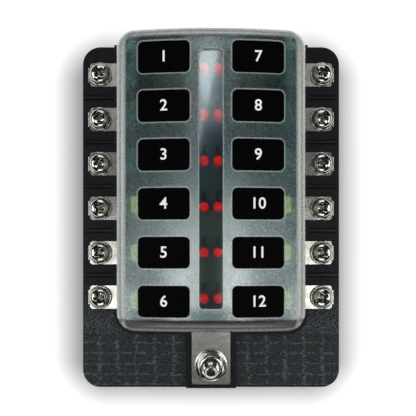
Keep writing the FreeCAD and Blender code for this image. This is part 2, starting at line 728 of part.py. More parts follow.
def make_stud_nut(doc):
    body = new_body(doc, "stud_nut")
    outline = new_sketch(body, "nut_outline", "XY_Plane", "0")
    draw_hexagon(outline, "nut_across")
    pad(body, outline, "nut_height")
    hole = new_sketch(body, "nut_bore", "XY_Plane", "nut_height")
    draw_circle(hole, "0", "0", "stud_radius + stud_fit")
    pocket(body, hole, "nut_height")
    corner = "nut_across / 2 / cos(30)"
    bevel = new_sketch(body, "nut_bevel", "XZ_Plane", "0")
    draw_outline(bevel, [
        ("nut_across / 2", "nut_height"),
        (corner, "nut_height - nut_corner_cut"),
        (f"{corner} + overcut", "nut_height - nut_corner_cut"),
        (f"{corner} + overcut", "nut_height + overcut"),
        ("nut_across / 2", "nut_height + overcut"),
    ])
    groove = body.newObject("PartDesign::Groove", "nut_bevel_cut")
    groove.Profile = bevel
    groove.ReferenceAxis = (bevel, ["V_Axis"])
    groove.Angle = 360
    doc.recompute()
    place(body, along="-stud_position", up=NUT_BOTTOM, turn=NUT_TURN)
    return body


def make_terminal_washer(doc, number):
    """A cup washer whose raised rim keeps strands of wire under the screw head."""
    side, row = side_and_row(number)
    body = new_body(doc, f"terminal_washer_{number:02d}")
    section = new_sketch(body, f"cup_section_{number}", "XZ_Plane", "0")
    draw_outline(section, [
        ("screw_radius + screw_fit", "0"),
        ("cup_radius", "0"),
        ("cup_radius", "cup_thickness + cup_rim_height"),
        ("cup_radius - cup_rim_width", "cup_thickness + cup_rim_height"),
        ("cup_radius - cup_rim_width - cup_rim_slope", "cup_thickness"),
        ("screw_radius + screw_fit", "cup_thickness"),
    ])
    revolve(body, section)
    place(body, f"{side} * screw_offset", row, TAB_TOP)
    return body


def draw_cross(sketch, length, width):
    far = f"({length}) / 2"
    near = f"({width}) / 2"
    draw_outline(sketch, [
        (near, near), (near, far), (f"-{near}", far), (f"-{near}", near),
        (f"-{far}", near), (f"-{far}", f"-{near}"), (f"-{near}", f"-{near}"), (f"-{near}", f"-{far}"),
        (near, f"-{far}"), (near, f"-{near}"), (far, f"-{near}"), (far, near),
    ])


def make_terminal_screw(doc, number):
    """A pan head screw with a cross recess; its origin is under the head."""
    side, row = side_and_row(number)
    body = new_body(doc, f"terminal_screw_{number:02d}")
    section = new_sketch(body, f"screw_section_{number}", "XZ_Plane", "0")
    draw_outline(section, [
        ("0", "-screw_length"),
        ("screw_radius - screw_tip_cut", "-screw_length"),
        ("screw_radius", "-screw_length + screw_tip_cut"),
        ("screw_radius", "0"),
        ("screw_head_radius", "0"),
        ("screw_head_radius", "screw_head_height"),
        ("0", "screw_head_height"),
    ])
    solid = revolve(body, section)

    round_edges(body, f"pan_head_{number}", solid, touches_top(solid), "screw_head_round")
    recess = new_sketch(body, f"recess_{number}", "XY_Plane", "screw_head_height")
    draw_cross(recess, "recess_length", "recess_width")
    cut = pocket(body, recess, "recess_depth")
    bind(cut, "TaperAngle", "-recess_taper")
    place(body, f"{side} * screw_offset", row, f"{TAB_TOP} + cup_thickness", SCREW_TURNS[number - 1])
    return body


def make_circuit_board(doc):
    """The lamp board, with one chip resistor beside each lamp."""
    body = new_body(doc, "circuit_board")
    outline = new_sketch(body, "board_outline", "XY_Plane", BOARD_BOTTOM)
    draw_rectangle(outline, "-board_width / 2", "board_width / 2",
                   f"{LAST_ROW} - board_end", f"{FIRST_ROW} + board_end")
    pad(body, outline, "board_thickness")
    chip = new_sketch(body, "resistor", "XY_Plane", BOARD_TOP)
    draw_rectangle(chip, "lamp_offset - resistor_width / 2", "lamp_offset + resistor_width / 2",
                   f"{LAST_ROW} + resistor_shift - resistor_length / 2",
                   f"{LAST_ROW} + resistor_shift + resistor_length / 2")
    part = pad(body, chip, "resistor_height")
    repeat_rows(body, "resistors", [part])
    return body


def primitive(body, kind, name, across, along, up, **sizes):
    solid = body.newObject(f"PartDesign::Additive{kind}", name)
    solid.AttachmentSupport = (origin_plane(body, "XY_Plane"), "")
    solid.MapMode = "FlatFace"
    bind(solid, "AttachmentOffset.Base.x", across)
    bind(solid, "AttachmentOffset.Base.y", along)
    bind(solid, "AttachmentOffset.Base.z", up)
    for field, text in sizes.items():
        bind(solid, field, text)
    body.Document.recompute()
    return solid


def make_lamps(doc):
    """Twelve round lamps of 3 mm, each with a flange, a barrel and a dome."""
    body = new_body(doc, "indicator_leds")
    barrel = "lamp_height - lamp_radius"
    parts = [
        primitive(body, "Cylinder", "lamp_flange", "lamp_offset", LAST_ROW, BOARD_TOP,
                  Radius="lamp_flange_radius", Height="lamp_flange_height"),
        primitive(body, "Cylinder", "lamp_barrel", "lamp_offset", LAST_ROW, BOARD_TOP,
                  Radius="lamp_radius", Height=barrel),
        primitive(body, "Sphere", "lamp_dome", "lamp_offset", LAST_ROW, f"{BOARD_TOP} + {barrel}",
                  Radius="lamp_radius"),
    ]
    repeat_rows(body, "lamps", parts)
    return body


def element_corners(middle):
    """Outline of a fuse element seen from the front: two blades and the thin link between them."""
    outer = "(blade_offset + blade_width / 2)"
    inner = "(blade_offset - blade_width / 2)"
    tip = "-blade_length"
    half = [
        ("link_half_length", "element_height - link_drop - link_width"),
        (inner, "element_height - link_drop - link_width - link_rise"),
        (inner, f"{tip} + blade_tip_cut"),
        (f"{inner} + blade_tip_cut", tip),
        (f"{outer} - blade_tip_cut", tip),
        (outer, f"{tip} + blade_tip_cut"),
        (outer, "element_height"),
        (f"{inner} + blade_shoulder", "element_height"),
        ("link_half_length", "element_height - link_drop"),
    ]
    right = [(f"{middle} + ({across})", up) for across, up in half]
    left = [(f"{middle} - ({across})", up) for across, up in reversed(half)]
    return right + left


def make_fuse_housing(doc, number):
    """The plastic body of a blade fuse: a wide cap, a thinner waist and a slot for the element."""
    side, row = side_and_row(number)
    body = new_body(doc, f"fuse_housing_{number:02d}")
    front = new_sketch(body, f"fuse_front_{number}", "XZ_Plane", "0")
    waist = "(fuse_width / 2 - waist_inset)"
    shoulder = "(fuse_height - cap_height)"
    draw_outline(front, [
        (f"-{waist}", "0"), (waist, "0"), (waist, f"{shoulder} - waist_inset"), ("fuse_width / 2", shoulder),
        ("fuse_width / 2", "fuse_height"), ("-fuse_width / 2", "fuse_height"),
        ("-fuse_width / 2", shoulder), (f"-{waist}", f"{shoulder} - waist_inset"),
    ])
    solid = pad(body, front, "fuse_thickness", midplane=True)

    def cap_corner(edge):
        return is_upright(edge) and edge.BoundBox.ZMax > solid.Shape.BoundBox.ZMax - NEAR

    round_edges(body, f"cap_corners_{number}", solid, cap_corner, "fuse_corner_radius")
    face = new_sketch(body, f"waist_face_{number}", "XZ_Plane", "fuse_thickness / 2")
    draw_rectangle(face, f"-{waist} + waist_side", f"{waist} - waist_side", "0", shoulder)
    front_cut = pocket(body, face, "(fuse_thickness - waist_thickness) / 2")
    mirror_across_row(body, f"waist_faces_{number}", [front_cut])
    slot = new_sketch(body, f"element_slot_{number}", "XZ_Plane", "0")
    draw_outline(slot, element_corners("0"))
    pocket(body, slot, "blade_thickness + 2 * blade_slot_gap", midplane=True)
    for hand in (-1, 1):
        test = new_sketch(body, f"test_slot_{number}_{hand + 2}", "XY_Plane", "fuse_height")
        middle = f"{hand} * blade_offset"
        draw_rectangle(test, f"{middle} - test_slot_length / 2", f"{middle} + test_slot_length / 2",
                       "-test_slot_width / 2", "test_slot_width / 2")
        pocket(body, test, "fuse_height - element_height")
    place(body, f"{side} * fuse_offset", row, "fuse_deck_height")
    return body


def make_fuse_elements(doc):
    """Twelve stamped elements; each is two blades joined by the link that melts."""
    body = new_body(doc, "fuse_elements")
    front = new_sketch(body, "element_front", "XZ_Plane", f"-{LAST_ROW}")
    bind(front, "AttachmentOffset.Base.y", "fuse_deck_height")
    draw_outline(front, element_corners("fuse_offset"))
    part = pad(body, front, "blade_thickness", midplane=True)
    repeat_rows(body, "elements", [part])
    return body


def between_arches(body, sizes, low_crown, high_crown):
    """Keep what lies between two arches of the cover's radius."""
    for name, crown, far_side in (("above", high_crown, "cover_crown * 2"), ("below", low_crown, "0")):
        trim = new_sketch(body, f"{body.Label}_{name}", "XZ_Plane", "-row_middle")
        draw_arch(trim, sizes, "cover_width / 2", crown, far_side)
        pocket(body, trim, "cover_length", midplane=True)


def label_plates(doc, sizes, label, plate_gap, low_crown, high_crown):
    """Plates that follow the arch of the cover, for the labels or for the seats they lie in."""
    body = new_body(doc, label)
    outline = new_sketch(body, f"{label}_outline", "XY_Plane", "cover_crown / 2")
    half = f"label_width / 2 + {plate_gap}"
    tall = f"label_height / 2 + {plate_gap}"
    draw_rectangle(outline, f"label_offset - ({half})", f"label_offset + {half}",
                   f"{LAST_ROW} - ({tall})", f"{LAST_ROW} + {tall}")
    plate = pad(body, outline, "cover_crown")
    solid = repeat_rows(body, f"{label}_rows", [plate])
    round_edges(body, f"{label}_corners", solid, is_upright, f"label_corner_radius + {plate_gap}")
    between_arches(body, sizes, low_crown, high_crown)
    return body


def window_recess(doc, sizes):
    body = new_body(doc, "window_recess")
    outline = new_sketch(body, "window_outline", "XY_Plane", "cover_crown / 2")
    draw_rectangle(outline, "-window_width / 2", "window_width / 2",
                   "row_middle - window_length / 2", "row_middle + window_length / 2")
    solid = pad(body, outline, "cover_crown")
    round_edges(body, "window_corners", solid, is_upright, "window_corner_radius")
    between_arches(body, sizes, "cover_crown - window_sink", "cover_crown + overcut")
    return body


def make_labels(doc, sizes):
    low = "cover_crown - label_sink"
    return label_plates(doc, sizes, "circuit_labels", "0", low, f"{low} + label_thickness")


def arched_box(body, name, sizes, inset):
    """A box under the cover's arch, set in from the cover's outside on every side but the lowest."""
    outline = new_sketch(body, f"{name}_outline", "XZ_Plane", "-row_middle")
    draw_arch(outline, sizes, f"cover_width / 2 - {inset}", f"cover_crown - {inset}", SEAT_FLOOR)
    solid = pad(body, outline, f"cover_length - 2 * {inset}", midplane=True)
    solid = round_edges(body, f"{name}_corners", solid, is_upright, f"cover_corner_radius - {inset}")

    def on_roof(edge):
        return edge.BoundBox.ZMin > solid.Shape.BoundBox.Center.z

    return round_edges(body, f"{name}_top_edge", solid, on_roof, f"cover_edge_round - {inset}")


def cut_with(body, name, tool):
    cut = body.newObject("PartDesign::Boolean", name)
    cut.Type = "Cut"
    cut.setObjects([tool])
    body.Document.recompute()
    return cut


def cover_notches(body):
    """Openings in the skirt over the output tabs and over the feed tab."""
    tab = new_sketch(body, "tab_notch", "YZ_Plane", "0")
    half = "(contact_width / 2 + notch_gap)"
    draw_rectangle(tab, f"{LAST_ROW} - {half}", f"{LAST_ROW} + {half}",
                   f"{SEAT_FLOOR} - overcut", f"{TAB_TOP} + notch_gap")
    cut = pocket(body, tab, "cover_width + 2 * overcut", midplane=True)
    repeat_rows(body, "tab_notches", [cut], both_sides=False)
    feed = new_sketch(body, "feed_notch", "XZ_Plane", "-row_middle + cover_length / 2 + overcut")
    draw_rectangle(feed, "-feed_tab_width / 2 - notch_gap", "feed_tab_width / 2 + notch_gap",
                   f"{SEAT_FLOOR} - overcut", f"{FEED_TOP} + notch_gap")
    return pocket(body, feed, "cover_wall + 2 * overcut")


def make_cover(doc, sizes):
    """The clear cover: an arched shell with sunk seats for the labels and a sunk window, open below."""
    body = new_body(doc, "cover")
    arched_box(body, "cover_outside", sizes, "0")
    hollow = new_body(doc, "cover_hollow")
    arched_box(hollow, "cover_inside", sizes, "cover_wall")
    cut_with(body, "cover_shell", hollow)
    seats = label_plates(doc, sizes, "label_seats", "label_gap", "cover_crown - label_sink",
                         "cover_crown + overcut")
    cut_with(body, "sunk_seats", seats)
    cut_with(body, "sunk_window", window_recess(doc, sizes))
    cover_notches(body)
    return body


class SheetSizes:
    """Reads the sizes back from the sheet as numbers."""

    def __init__(self, doc, sheet):
        self.sheet = sheet
        self.probe = doc.addObject("App::FeaturePython", "probe")
        self.probe.addProperty("App::PropertyFloat", "amount")

    def __getitem__(self, alias):
        return float(getattr(self.sheet, alias))

    def value(self, text):
        bind(self.probe, "amount", text)
        self.probe.Document.recompute([self.probe])
        return self.probe.amount


def check(doc, bodies):
    for item in doc.Objects:
        if "Invalid" in item.State or "Error" in item.State:
            raise RuntimeError(f"{item.Label} did not build: {item.State}")
    for body in bodies:
        if body.Shape.isNull() or not body.Shape.isValid():
            raise RuntimeError(f"{body.Label} has no sound shape")


def main():
    doc = FreeCAD.newDocument("blade_fuse_block")
    sheet = make_sheet(doc)
    sizes = SheetSizes(doc, sheet)
    ways = range(1, 2 * ROWS + 1)
    bodies = [make_base(doc, sizes), make_back_plate(doc), make_feed_bar(doc), make_feed_stud(doc),
              make_stud_flat_washer(doc), make_stud_lock_washer(doc), make_stud_nut(doc),
              make_circuit_board(doc), make_lamps(doc), make_fuse_elements(doc)]
    bodies += [make_output_terminal(doc, sizes, number) for number in ways]
    bodies += [make_terminal_washer(doc, number) for number in ways]
    bodies += [make_terminal_screw(doc, number) for number in ways]
    bodies += [make_fuse_housing(doc, number) for number in ways]
    bodies += [make_cover(doc, sizes), make_labels(doc, sizes)]
    doc.recompute()
    check(doc, bodies)
    os.makedirs("parts", exist_ok=True)
    for body in bodies:
        body.Shape.exportStep(f"parts/{body.Label}.step")
        box = body.Shape.BoundBox
        print(f"{body.Label:24s} solids {len(body.Shape.Solids):2d} volume {body.Shape.Volume:10.2f} "
              f"x {box.XMin:7.2f} {box.XMax:7.2f} y {box.YMin:7.2f} {box.YMax:7.2f} "
              f"z {box.ZMin:6.2f} {box.ZMax:6.2f}")


main()
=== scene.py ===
import math

import bpy
from mathutils import Matrix, Vector


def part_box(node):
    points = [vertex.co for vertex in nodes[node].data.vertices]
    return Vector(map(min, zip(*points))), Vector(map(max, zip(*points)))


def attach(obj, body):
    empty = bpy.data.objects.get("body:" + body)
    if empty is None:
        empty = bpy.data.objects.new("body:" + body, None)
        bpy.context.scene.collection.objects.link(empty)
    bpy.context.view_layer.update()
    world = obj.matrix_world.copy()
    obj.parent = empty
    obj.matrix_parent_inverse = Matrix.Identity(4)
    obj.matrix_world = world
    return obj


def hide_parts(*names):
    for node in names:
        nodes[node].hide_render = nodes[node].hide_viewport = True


mm = 0.001


# Shader maths, written as plain expressions on the sockets of one material

class Wire:
    def __init__(self, finish, socket):
        self.finish = finish
        self.socket = socket

    def maths(self, operation, *values):
        return self.finish.node("ShaderNodeMath", {"operation": operation}, dict(enumerate(values)))

    def __add__(self, other):
        return self.maths("ADD", self, other)

    def __radd__(self, other):
        return self.maths("ADD", other, self)

    def __sub__(self, other):
        return self.maths("SUBTRACT", self, other)

    def __rsub__(self, other):
        return self.maths("SUBTRACT", other, self)

    def __mul__(self, other):
        return self.maths("MULTIPLY", self, other)

    def __rmul__(self, other):
        return self.maths("MULTIPLY", other, self)

    def __truediv__(self, other):
        return self.maths("DIVIDE", self, other)

    def __lt__(self, other):
        return self.maths("LESS_THAN", self, other)

    def __gt__(self, other):
        return self.maths("GREATER_THAN", self, other)

    def __neg__(self):
        return self.maths("MULTIPLY", self, -1.0)

    def __abs__(self):
        return self.maths("ABSOLUTE", self)

    def larger(self, other):
        return self.maths("MAXIMUM", self, other)

    def smaller(self, other):
        return self.maths("MINIMUM", self, other)

    def root(self):
        return self.maths("SQRT", self)

    def rounded(self):
        return self.maths("ROUND", self)

    def wrapped(self):  # distance from the nearest whole number
        return abs(self - self.rounded())

    def ramp(self, low, high):  # 0 below low, 1 above high, smooth between
        settings = {"interpolation_type": "SMOOTHSTEP"}
        return self.finish.node("ShaderNodeMapRange", settings, {0: self, 1: low, 2: high})


class Finish:
    def __init__(self, name):
        self.material = bpy.data.materials.new(name)
        self.material.use_nodes = True
        self.tree = self.material.node_tree
        self.tree.nodes.clear()
        self.output = self.tree.nodes.new("ShaderNodeOutputMaterial")

    def node(self, kind, settings=None, values=None, out=0):
        made = self.tree.nodes.new(kind)
        for key, value in (settings or {}).items():
            setattr(made, key, value)
        for key, value in (values or {}).items():
            if isinstance(value, Wire):
                self.tree.links.new(value.socket, made.inputs[key])
            else:
                made.inputs[key].default_value = value
        return Wire(self, made.outputs[out])

    def place(self):
        return self.node("ShaderNodeTexCoord", out="Object")

    def axes(self):
        parts = self.node("ShaderNodeSeparateXYZ", None, {0: self.place()}).socket.node
        return [Wire(self, socket) for socket in parts.outputs]

    def stretched(self, scale):
        return self.node("ShaderNodeMapping", None, {"Vector": self.place(), "Scale": scale})

    def noise(self, scale, detail=2.0, roughness=0.5, vector=None):
        values = {"Vector": vector or self.place(), "Scale": scale, "Detail": detail, "Roughness": roughness}
        return self.node("ShaderNodeTexNoise", None, values)

    def mix(self, factor, first, second):  # colours
        return self.node("ShaderNodeMix", {"data_type": "RGBA"}, {0: factor, 6: first, 7: second}, out=2)

    def bump(self, height, strength, distance, under=None):
        values = {"Height": height, "Strength": strength, "Distance": distance}
        if under is not None:
            values["Normal"] = under
        return self.node("ShaderNodeBump", None, values)

    def principled(self, values):
        return self.node("ShaderNodeBsdfPrincipled", None, values)

    def blend(self, factor, first, second):  # shaders
        return self.node("ShaderNodeMixShader", None, {0: factor, 1: first, 2: second})

    def finish(self, shader):
        self.tree.links.new(shader.socket, self.output.inputs["Surface"])
        return self.material


def grey(level):
    return (level, level, level, 1.0)


def roundedBox(across, along, halfWidth, halfHeight, radius):
    # signed distance from a rectangle with round corners
    beyondX = across - (halfWidth - radius)
    beyondY = along - (halfHeight - radius)
    outX = beyondX.larger(0.0)
    outY = beyondY.larger(0.0)
    return (outX * outX + outY * outY).root() + beyondX.larger(beyondY).smaller(0.0) - radius


# Helpers for pieces

def deselectAll():
    for thing in bpy.context.selected_objects:
        thing.select_set(False)


def numbered(name, ways):
    return [f"{name}_{way:02d}" for way in ways]


def paint(nodes, names, material):
    for name in names:
        piece = nodes[name]
        piece.data.materials.clear()
        piece.data.materials.append(material)


def settle(piece):  # puts a piece's place into its mesh
    deselectAll()
    bpy.context.view_layer.objects.active = piece
    piece.select_set(True)
    bpy.ops.object.transform_apply(location=True, rotation=True, scale=True)
    piece.select_set(False)
    return piece


def newPiece(name):  # the object that an operator has just made
    piece = bpy.context.object
    piece.name = name
    return piece


def pickFaces(piece, wanted):  # leaves edit mode on, with only the wanted faces selected
    bpy.ops.object.mode_set(mode="EDIT")
    bpy.ops.mesh.select_mode(type="FACE")
    bpy.ops.mesh.select_all(action="DESELECT")
    bpy.ops.object.mode_set(mode="OBJECT")
    for face in piece.data.polygons:
        face.select = wanted(face)
    bpy.ops.object.mode_set(mode="EDIT")


def pickEdges(piece, wanted):  # the same for edges, given by their two ends
    bpy.ops.object.mode_set(mode="EDIT")
    bpy.ops.mesh.select_mode(type="EDGE")
    bpy.ops.mesh.select_all(action="DESELECT")
    bpy.ops.object.mode_set(mode="OBJECT")
    points = piece.data.vertices
    for edge in piece.data.edges:
        edge.select = wanted(points[edge.vertices[0]].co, points[edge.vertices[1]].co)
    bpy.ops.object.mode_set(mode="EDIT")


def turned(name, rings, steps, solid=True):  # rings of (radius, height), each extruded from the last
    deselectAll()
    radius, height = rings[0]
    bpy.ops.mesh.primitive_circle_add(vertices=steps, radius=radius, location=(0, 0, height),
                                      fill_type="NGON" if solid else "NOTHING")
    piece = newPiece(name)
    bpy.ops.object.mode_set(mode="EDIT")
    bpy.ops.mesh.select_all(action="SELECT")
    for (wasRadius, wasHeight), (radius, height) in zip(rings, rings[1:]):
        bpy.ops.mesh.extrude_region_move(TRANSFORM_OT_translate={"value": (0, 0, height - wasHeight)})
        bpy.ops.transform.resize(value=(radius / wasRadius, radius / wasRadius, 1.0))
    bpy.ops.mesh.select_all(action="SELECT")
    bpy.ops.mesh.remove_doubles(threshold=0.002 * mm)
    bpy.ops.mesh.normals_make_consistent(inside=False)
    bpy.ops.object.mode_set(mode="OBJECT")
    return settle(piece)


def quarter(radius, height, bend, first, last, count):  # points of an arc in a turned outline
    angles = [math.radians(first + (last - first) * k / count) for k in range(count + 1)]
    return [(radius + bend * math.cos(angle), height + bend * math.sin(angle)) for angle in angles]


def applied(piece, kind, settings):  # adds one modifier and applies it
    deselectAll()
    bpy.context.view_layer.objects.active = piece
    piece.select_set(True)
    modifier = piece.modifiers.new(kind.lower(), kind)
    for key, value in settings.items():
        setattr(modifier, key, value)
    bpy.ops.object.modifier_apply(modifier=modifier.name)
    piece.select_set(False)
    return piece


def carved(piece, tool, operation):
    applied(piece, "BOOLEAN", {"operation": operation, "object": tool, "solver": "EXACT"})
    bpy.data.objects.remove(tool)
    return piece


def bevelled(piece, width, segments, angle):  # rounds the edges that are sharper than the angle
    return applied(piece, "BEVEL", {"width": width, "segments": segments, "limit_method": "ANGLE",
                                    "angle_limit": math.radians(angle)})


def joined(pieces):
    deselectAll()
    for piece in pieces:
        piece.select_set(True)
    bpy.context.view_layer.objects.active = pieces[0]
    bpy.ops.object.join()
    pieces[0].select_set(False)
    return pieces[0]


def smoothed(piece, angle):
    deselectAll()
    bpy.context.view_layer.objects.active = piece
    piece.select_set(True)
    bpy.ops.object.shade_smooth_by_angle(angle=math.radians(angle))
    piece.select_set(False)
    return piece


def copied(master, name, place, turn):  # a copy with its own mesh, turned about Z and set down
    piece = master.copy()
    piece.data = master.data.copy()
    piece.name = name
    bpy.context.scene.collection.objects.link(piece)
    piece.data.transform(Matrix.Translation(place) @ Matrix.Rotation(math.radians(turn), 4, "Z"))
    return piece


def middleOf(node):  # where its box stands: across, along, low and high
    low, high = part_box(node)
    return (low.x + high.x) / 2, (low.y + high.y) / 2, low.z, high.z


def boxHeight(node):
    low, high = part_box(node)
    return high.z - low.z


# Threads of the terminal screws and the feed stud

threadLook = {
    "flank": 0.36,   # shares of the pitch
    "flat": 0.14,
    "sunk": 0.98,    # the tooth's foot, as a share of the root's radius
}


def threadRidge(name, root, crest, pitch, low, high, steps):  # a tooth wound up the shank
    deselectAll()
    bpy.ops.mesh.primitive_plane_add(size=0.2 * mm, location=(root, 0, low))
    piece = newPiece(name)
    bpy.ops.object.mode_set(mode="EDIT")
    bpy.ops.mesh.select_mode(type="VERT")
    bpy.ops.mesh.select_all(action="SELECT")
    bpy.ops.mesh.merge(type="CENTER")
    depth = crest - root
    flank = threadLook["flank"] * pitch
    flat = threadLook["flat"] * pitch
    for step in ((depth, 0, flank), (0, 0, flat), (-depth, 0, flank)):
        bpy.ops.mesh.extrude_vertices_move(TRANSFORM_OT_translate={"value": step})
    bpy.ops.object.mode_set(mode="OBJECT")
    settle(piece)
    turns = int((high - low) / pitch) - 1
    applied(piece, "SCREW", {"axis": "Z", "angle": 2 * math.pi, "screw_offset": pitch, "iterations": turns,
                             "steps": steps, "render_steps": steps})
    top = low + turns * pitch + 2 * flank + flat
    foot = root * threadLook["sunk"]
    for corner in piece.data.vertices:  # the tooth sinks into the shank at both ends
        fade = min(1.0, (corner.co.z - low) / pitch, (top - corner.co.z) / pitch)
        radius = math.hypot(corner.co.x, corner.co.y)
        wanted = foot + max(fade, 0.0) * (radius - foot)
        corner.co.x *= wanted / radius
        corner.co.y *= wanted / radius
    return piece


# Base and back plate

baseLook = {
    "black": (0.0024, 0.0034, 0.0042, 1.0),
    "grainTone": (0.0055, 0.0072, 0.0084, 1.0),
    # painted shade in the lines beside the ribs
    "ribShadeBlack": (0.0008, 0.0010, 0.0012, 1.0),
    # lighter tone of the woven strokes and speckles: partly the embossed texture, partly painted sheen and
    # glints; also the ribs' painted highlight
    "strokeAndSheenTone": (0.116, 0.136, 0.145, 1.0),
    "roughness": 0.40,
    "specular": 0.22,
    "deckFade": (17.2 * mm, 17.8 * mm),   # the deck's pattern comes in between these heights
    "deckTop": 18.1 * mm,
    "firstRib": 40.4 * mm,                # ribs between the terminals
    "ribPitch": 15.0 * mm,
    "ribStart": 33.0 * mm,                # they run outwards from here
    "ribNear": -20.8 * mm,                # and lie between these places along Y
    "ribFar": 42.0 * mm,
    "ribLow": 17.5 * mm,                  # and between these heights
    "ribHigh": 18.7 * mm,
    "glintWidth": (0.16 * mm, 0.34 * mm),   # a painted highlight on a rib's crown, from full to none
    "ribShadeWidth": (0.85 * mm, 1.15 * mm),  # painted shade in the dark lines beside it
    "glintFar": 44.0 * mm,                # the crowns shine more from here towards the feed end
    "glintReach": 60.0 * mm,
    "cellLength": 6.3 * mm,               # woven strokes on the lower deck, along X
    "cellHeight": 3.55 * mm,              # and along Y
    "lineWidth": (0.02, 0.15),            # shares of a cell
    "wobble": 1.5 * mm,                   # how far the strokes stray
    "drift": 1.2 * mm,
    "weaveStart": 38.6 * mm,              # they cover the deck from here to the feed end
    "weaveFade": 1.5 * mm,
    "weaveDepth": 0.16 * mm,
    "grainDepth": 0.09 * mm,
    "sheenStart": 20.0 * mm,            # painted sheen: the speckles grow stronger from here on towards the feed end
    "plainStrip": 8.5 * mm,               # smooth on both sides of the feed tab
    "plainBorder": 57.0 * mm,             # and along the feed end's edge
}


def basePlastic():
    look = baseLook
    f = Finish("basePlastic")
    x, y, z = f.axes()
    toFeed = -y
    fine = f.noise(2300.0, 2.0, 0.6)
    coarse = f.noise(1100.0, 3.0, 0.65)
    broad = f.noise(90.0, 3.0, 0.6)
    speckle = f.noise(2600.0, 1.0, 0.5).ramp(0.40, 0.64)
    onDeck = z.ramp(*look["deckFade"]) * (z < look["deckTop"])
    outside = (abs(x) > look["plainStrip"]) * (toFeed < look["plainBorder"])

    wobble = (f.noise(230.0, 3.0) - 0.5) * look["wobble"]
    drift = (f.noise(120.0, 2.0) - 0.5) * look["drift"]
    across = (x + wobble + drift) / look["cellLength"]
    along = (y + wobble) / look["cellHeight"]
    lines = 1 - across.wrapped().smaller(along.wrapped()).ramp(*look["lineWidth"])
    strokes = f.noise(1700.0, 2.0, 0.6, f.stretched((0.6, 1.0, 1.0))).ramp(0.40, 0.60)
    woven = toFeed.ramp(look["weaveStart"] - look["weaveFade"], look["weaveStart"] + look["weaveFade"])
    woven = woven * onDeck * outside
    broken = f.noise(420.0, 2.0).ramp(0.36, 0.6)
    weave = strokes * (0.24 + lines * (0.5 + broken * 0.9)).smaller(1.4) * woven
    speckleSheen = toFeed.ramp(look["sheenStart"], look["weaveStart"]) * onDeck * outside * (1 - woven * 0.6)

    fromRib = ((y - look["firstRib"]) / look["ribPitch"]).wrapped() * look["ribPitch"]
    inRows = (abs(x) > look["ribStart"]) * (y > look["ribNear"]) * (y < look["ribFar"])
    beside = inRows * (z > look["ribLow"]) * (z < look["ribHigh"])
    # painted highlight on the ribs' crowns, broken up by noise
    glintBreaks = f.noise(420.0, 2.0, 0.6, f.stretched((0.25, 1.0, 1.0))).ramp(0.34, 0.6)
    glint = (1 - fromRib.ramp(*look["glintWidth"])) * beside * (0.3 + glintBreaks * 0.7)
    glint = glint * (0.16 + (look["glintFar"] + toFeed).ramp(0.0, look["glintReach"]) * 0.22)
    # painted shade: dark lines beside the ribs
    ribShade = (1 - fromRib.ramp(*look["ribShadeWidth"])) * beside

    # strokes and speckles lightened as painted sheen on the textured deck, with the ribs' painted highlight
    # on top
    pattern = weave.larger(speckle * (0.10 + speckleSheen * 0.9)) * (1 - ribShade)
    pattern = pattern.larger(glint)
    colour = f.mix(broad.ramp(0.35, 0.75), look["black"], look["grainTone"])
    colour = f.mix(ribShade, colour, look["ribShadeBlack"])
    colour = f.mix(pattern, colour, look["strokeAndSheenTone"])
    roughness = look["roughness"] + fine * 0.14 - pattern * 0.06
    grain = f.bump(coarse * 0.6 + fine * 0.4, 0.55, look["grainDepth"])
    raised = f.bump(weave, 0.8, look["weaveDepth"], grain)
    return f.finish(f.principled({"Base Color": colour, "Roughness": roughness, "Normal": raised,
                                  "Specular IOR Level": look["specular"]}))


plateLook = {
    "black": (0.010, 0.011, 0.012, 1.0),
    "paleBlack": (0.018, 0.019, 0.021, 1.0),
    "grainDepth": 0.06 * mm,
}


def backPlatePlastic():
    look = plateLook
    f = Finish("backPlatePlastic")
    fine = f.noise(1800.0, 3.0, 0.7)
    sink = f.noise(60.0, 2.0)
    colour = f.mix(sink.ramp(0.3, 0.7), look["black"], look["paleBlack"])
    return f.finish(f.principled({"Base Color": colour, "Roughness": 0.5 + fine * 0.2,
                                  "Normal": f.bump(fine, 0.4, look["grainDepth"])}))


# Cover and its labels

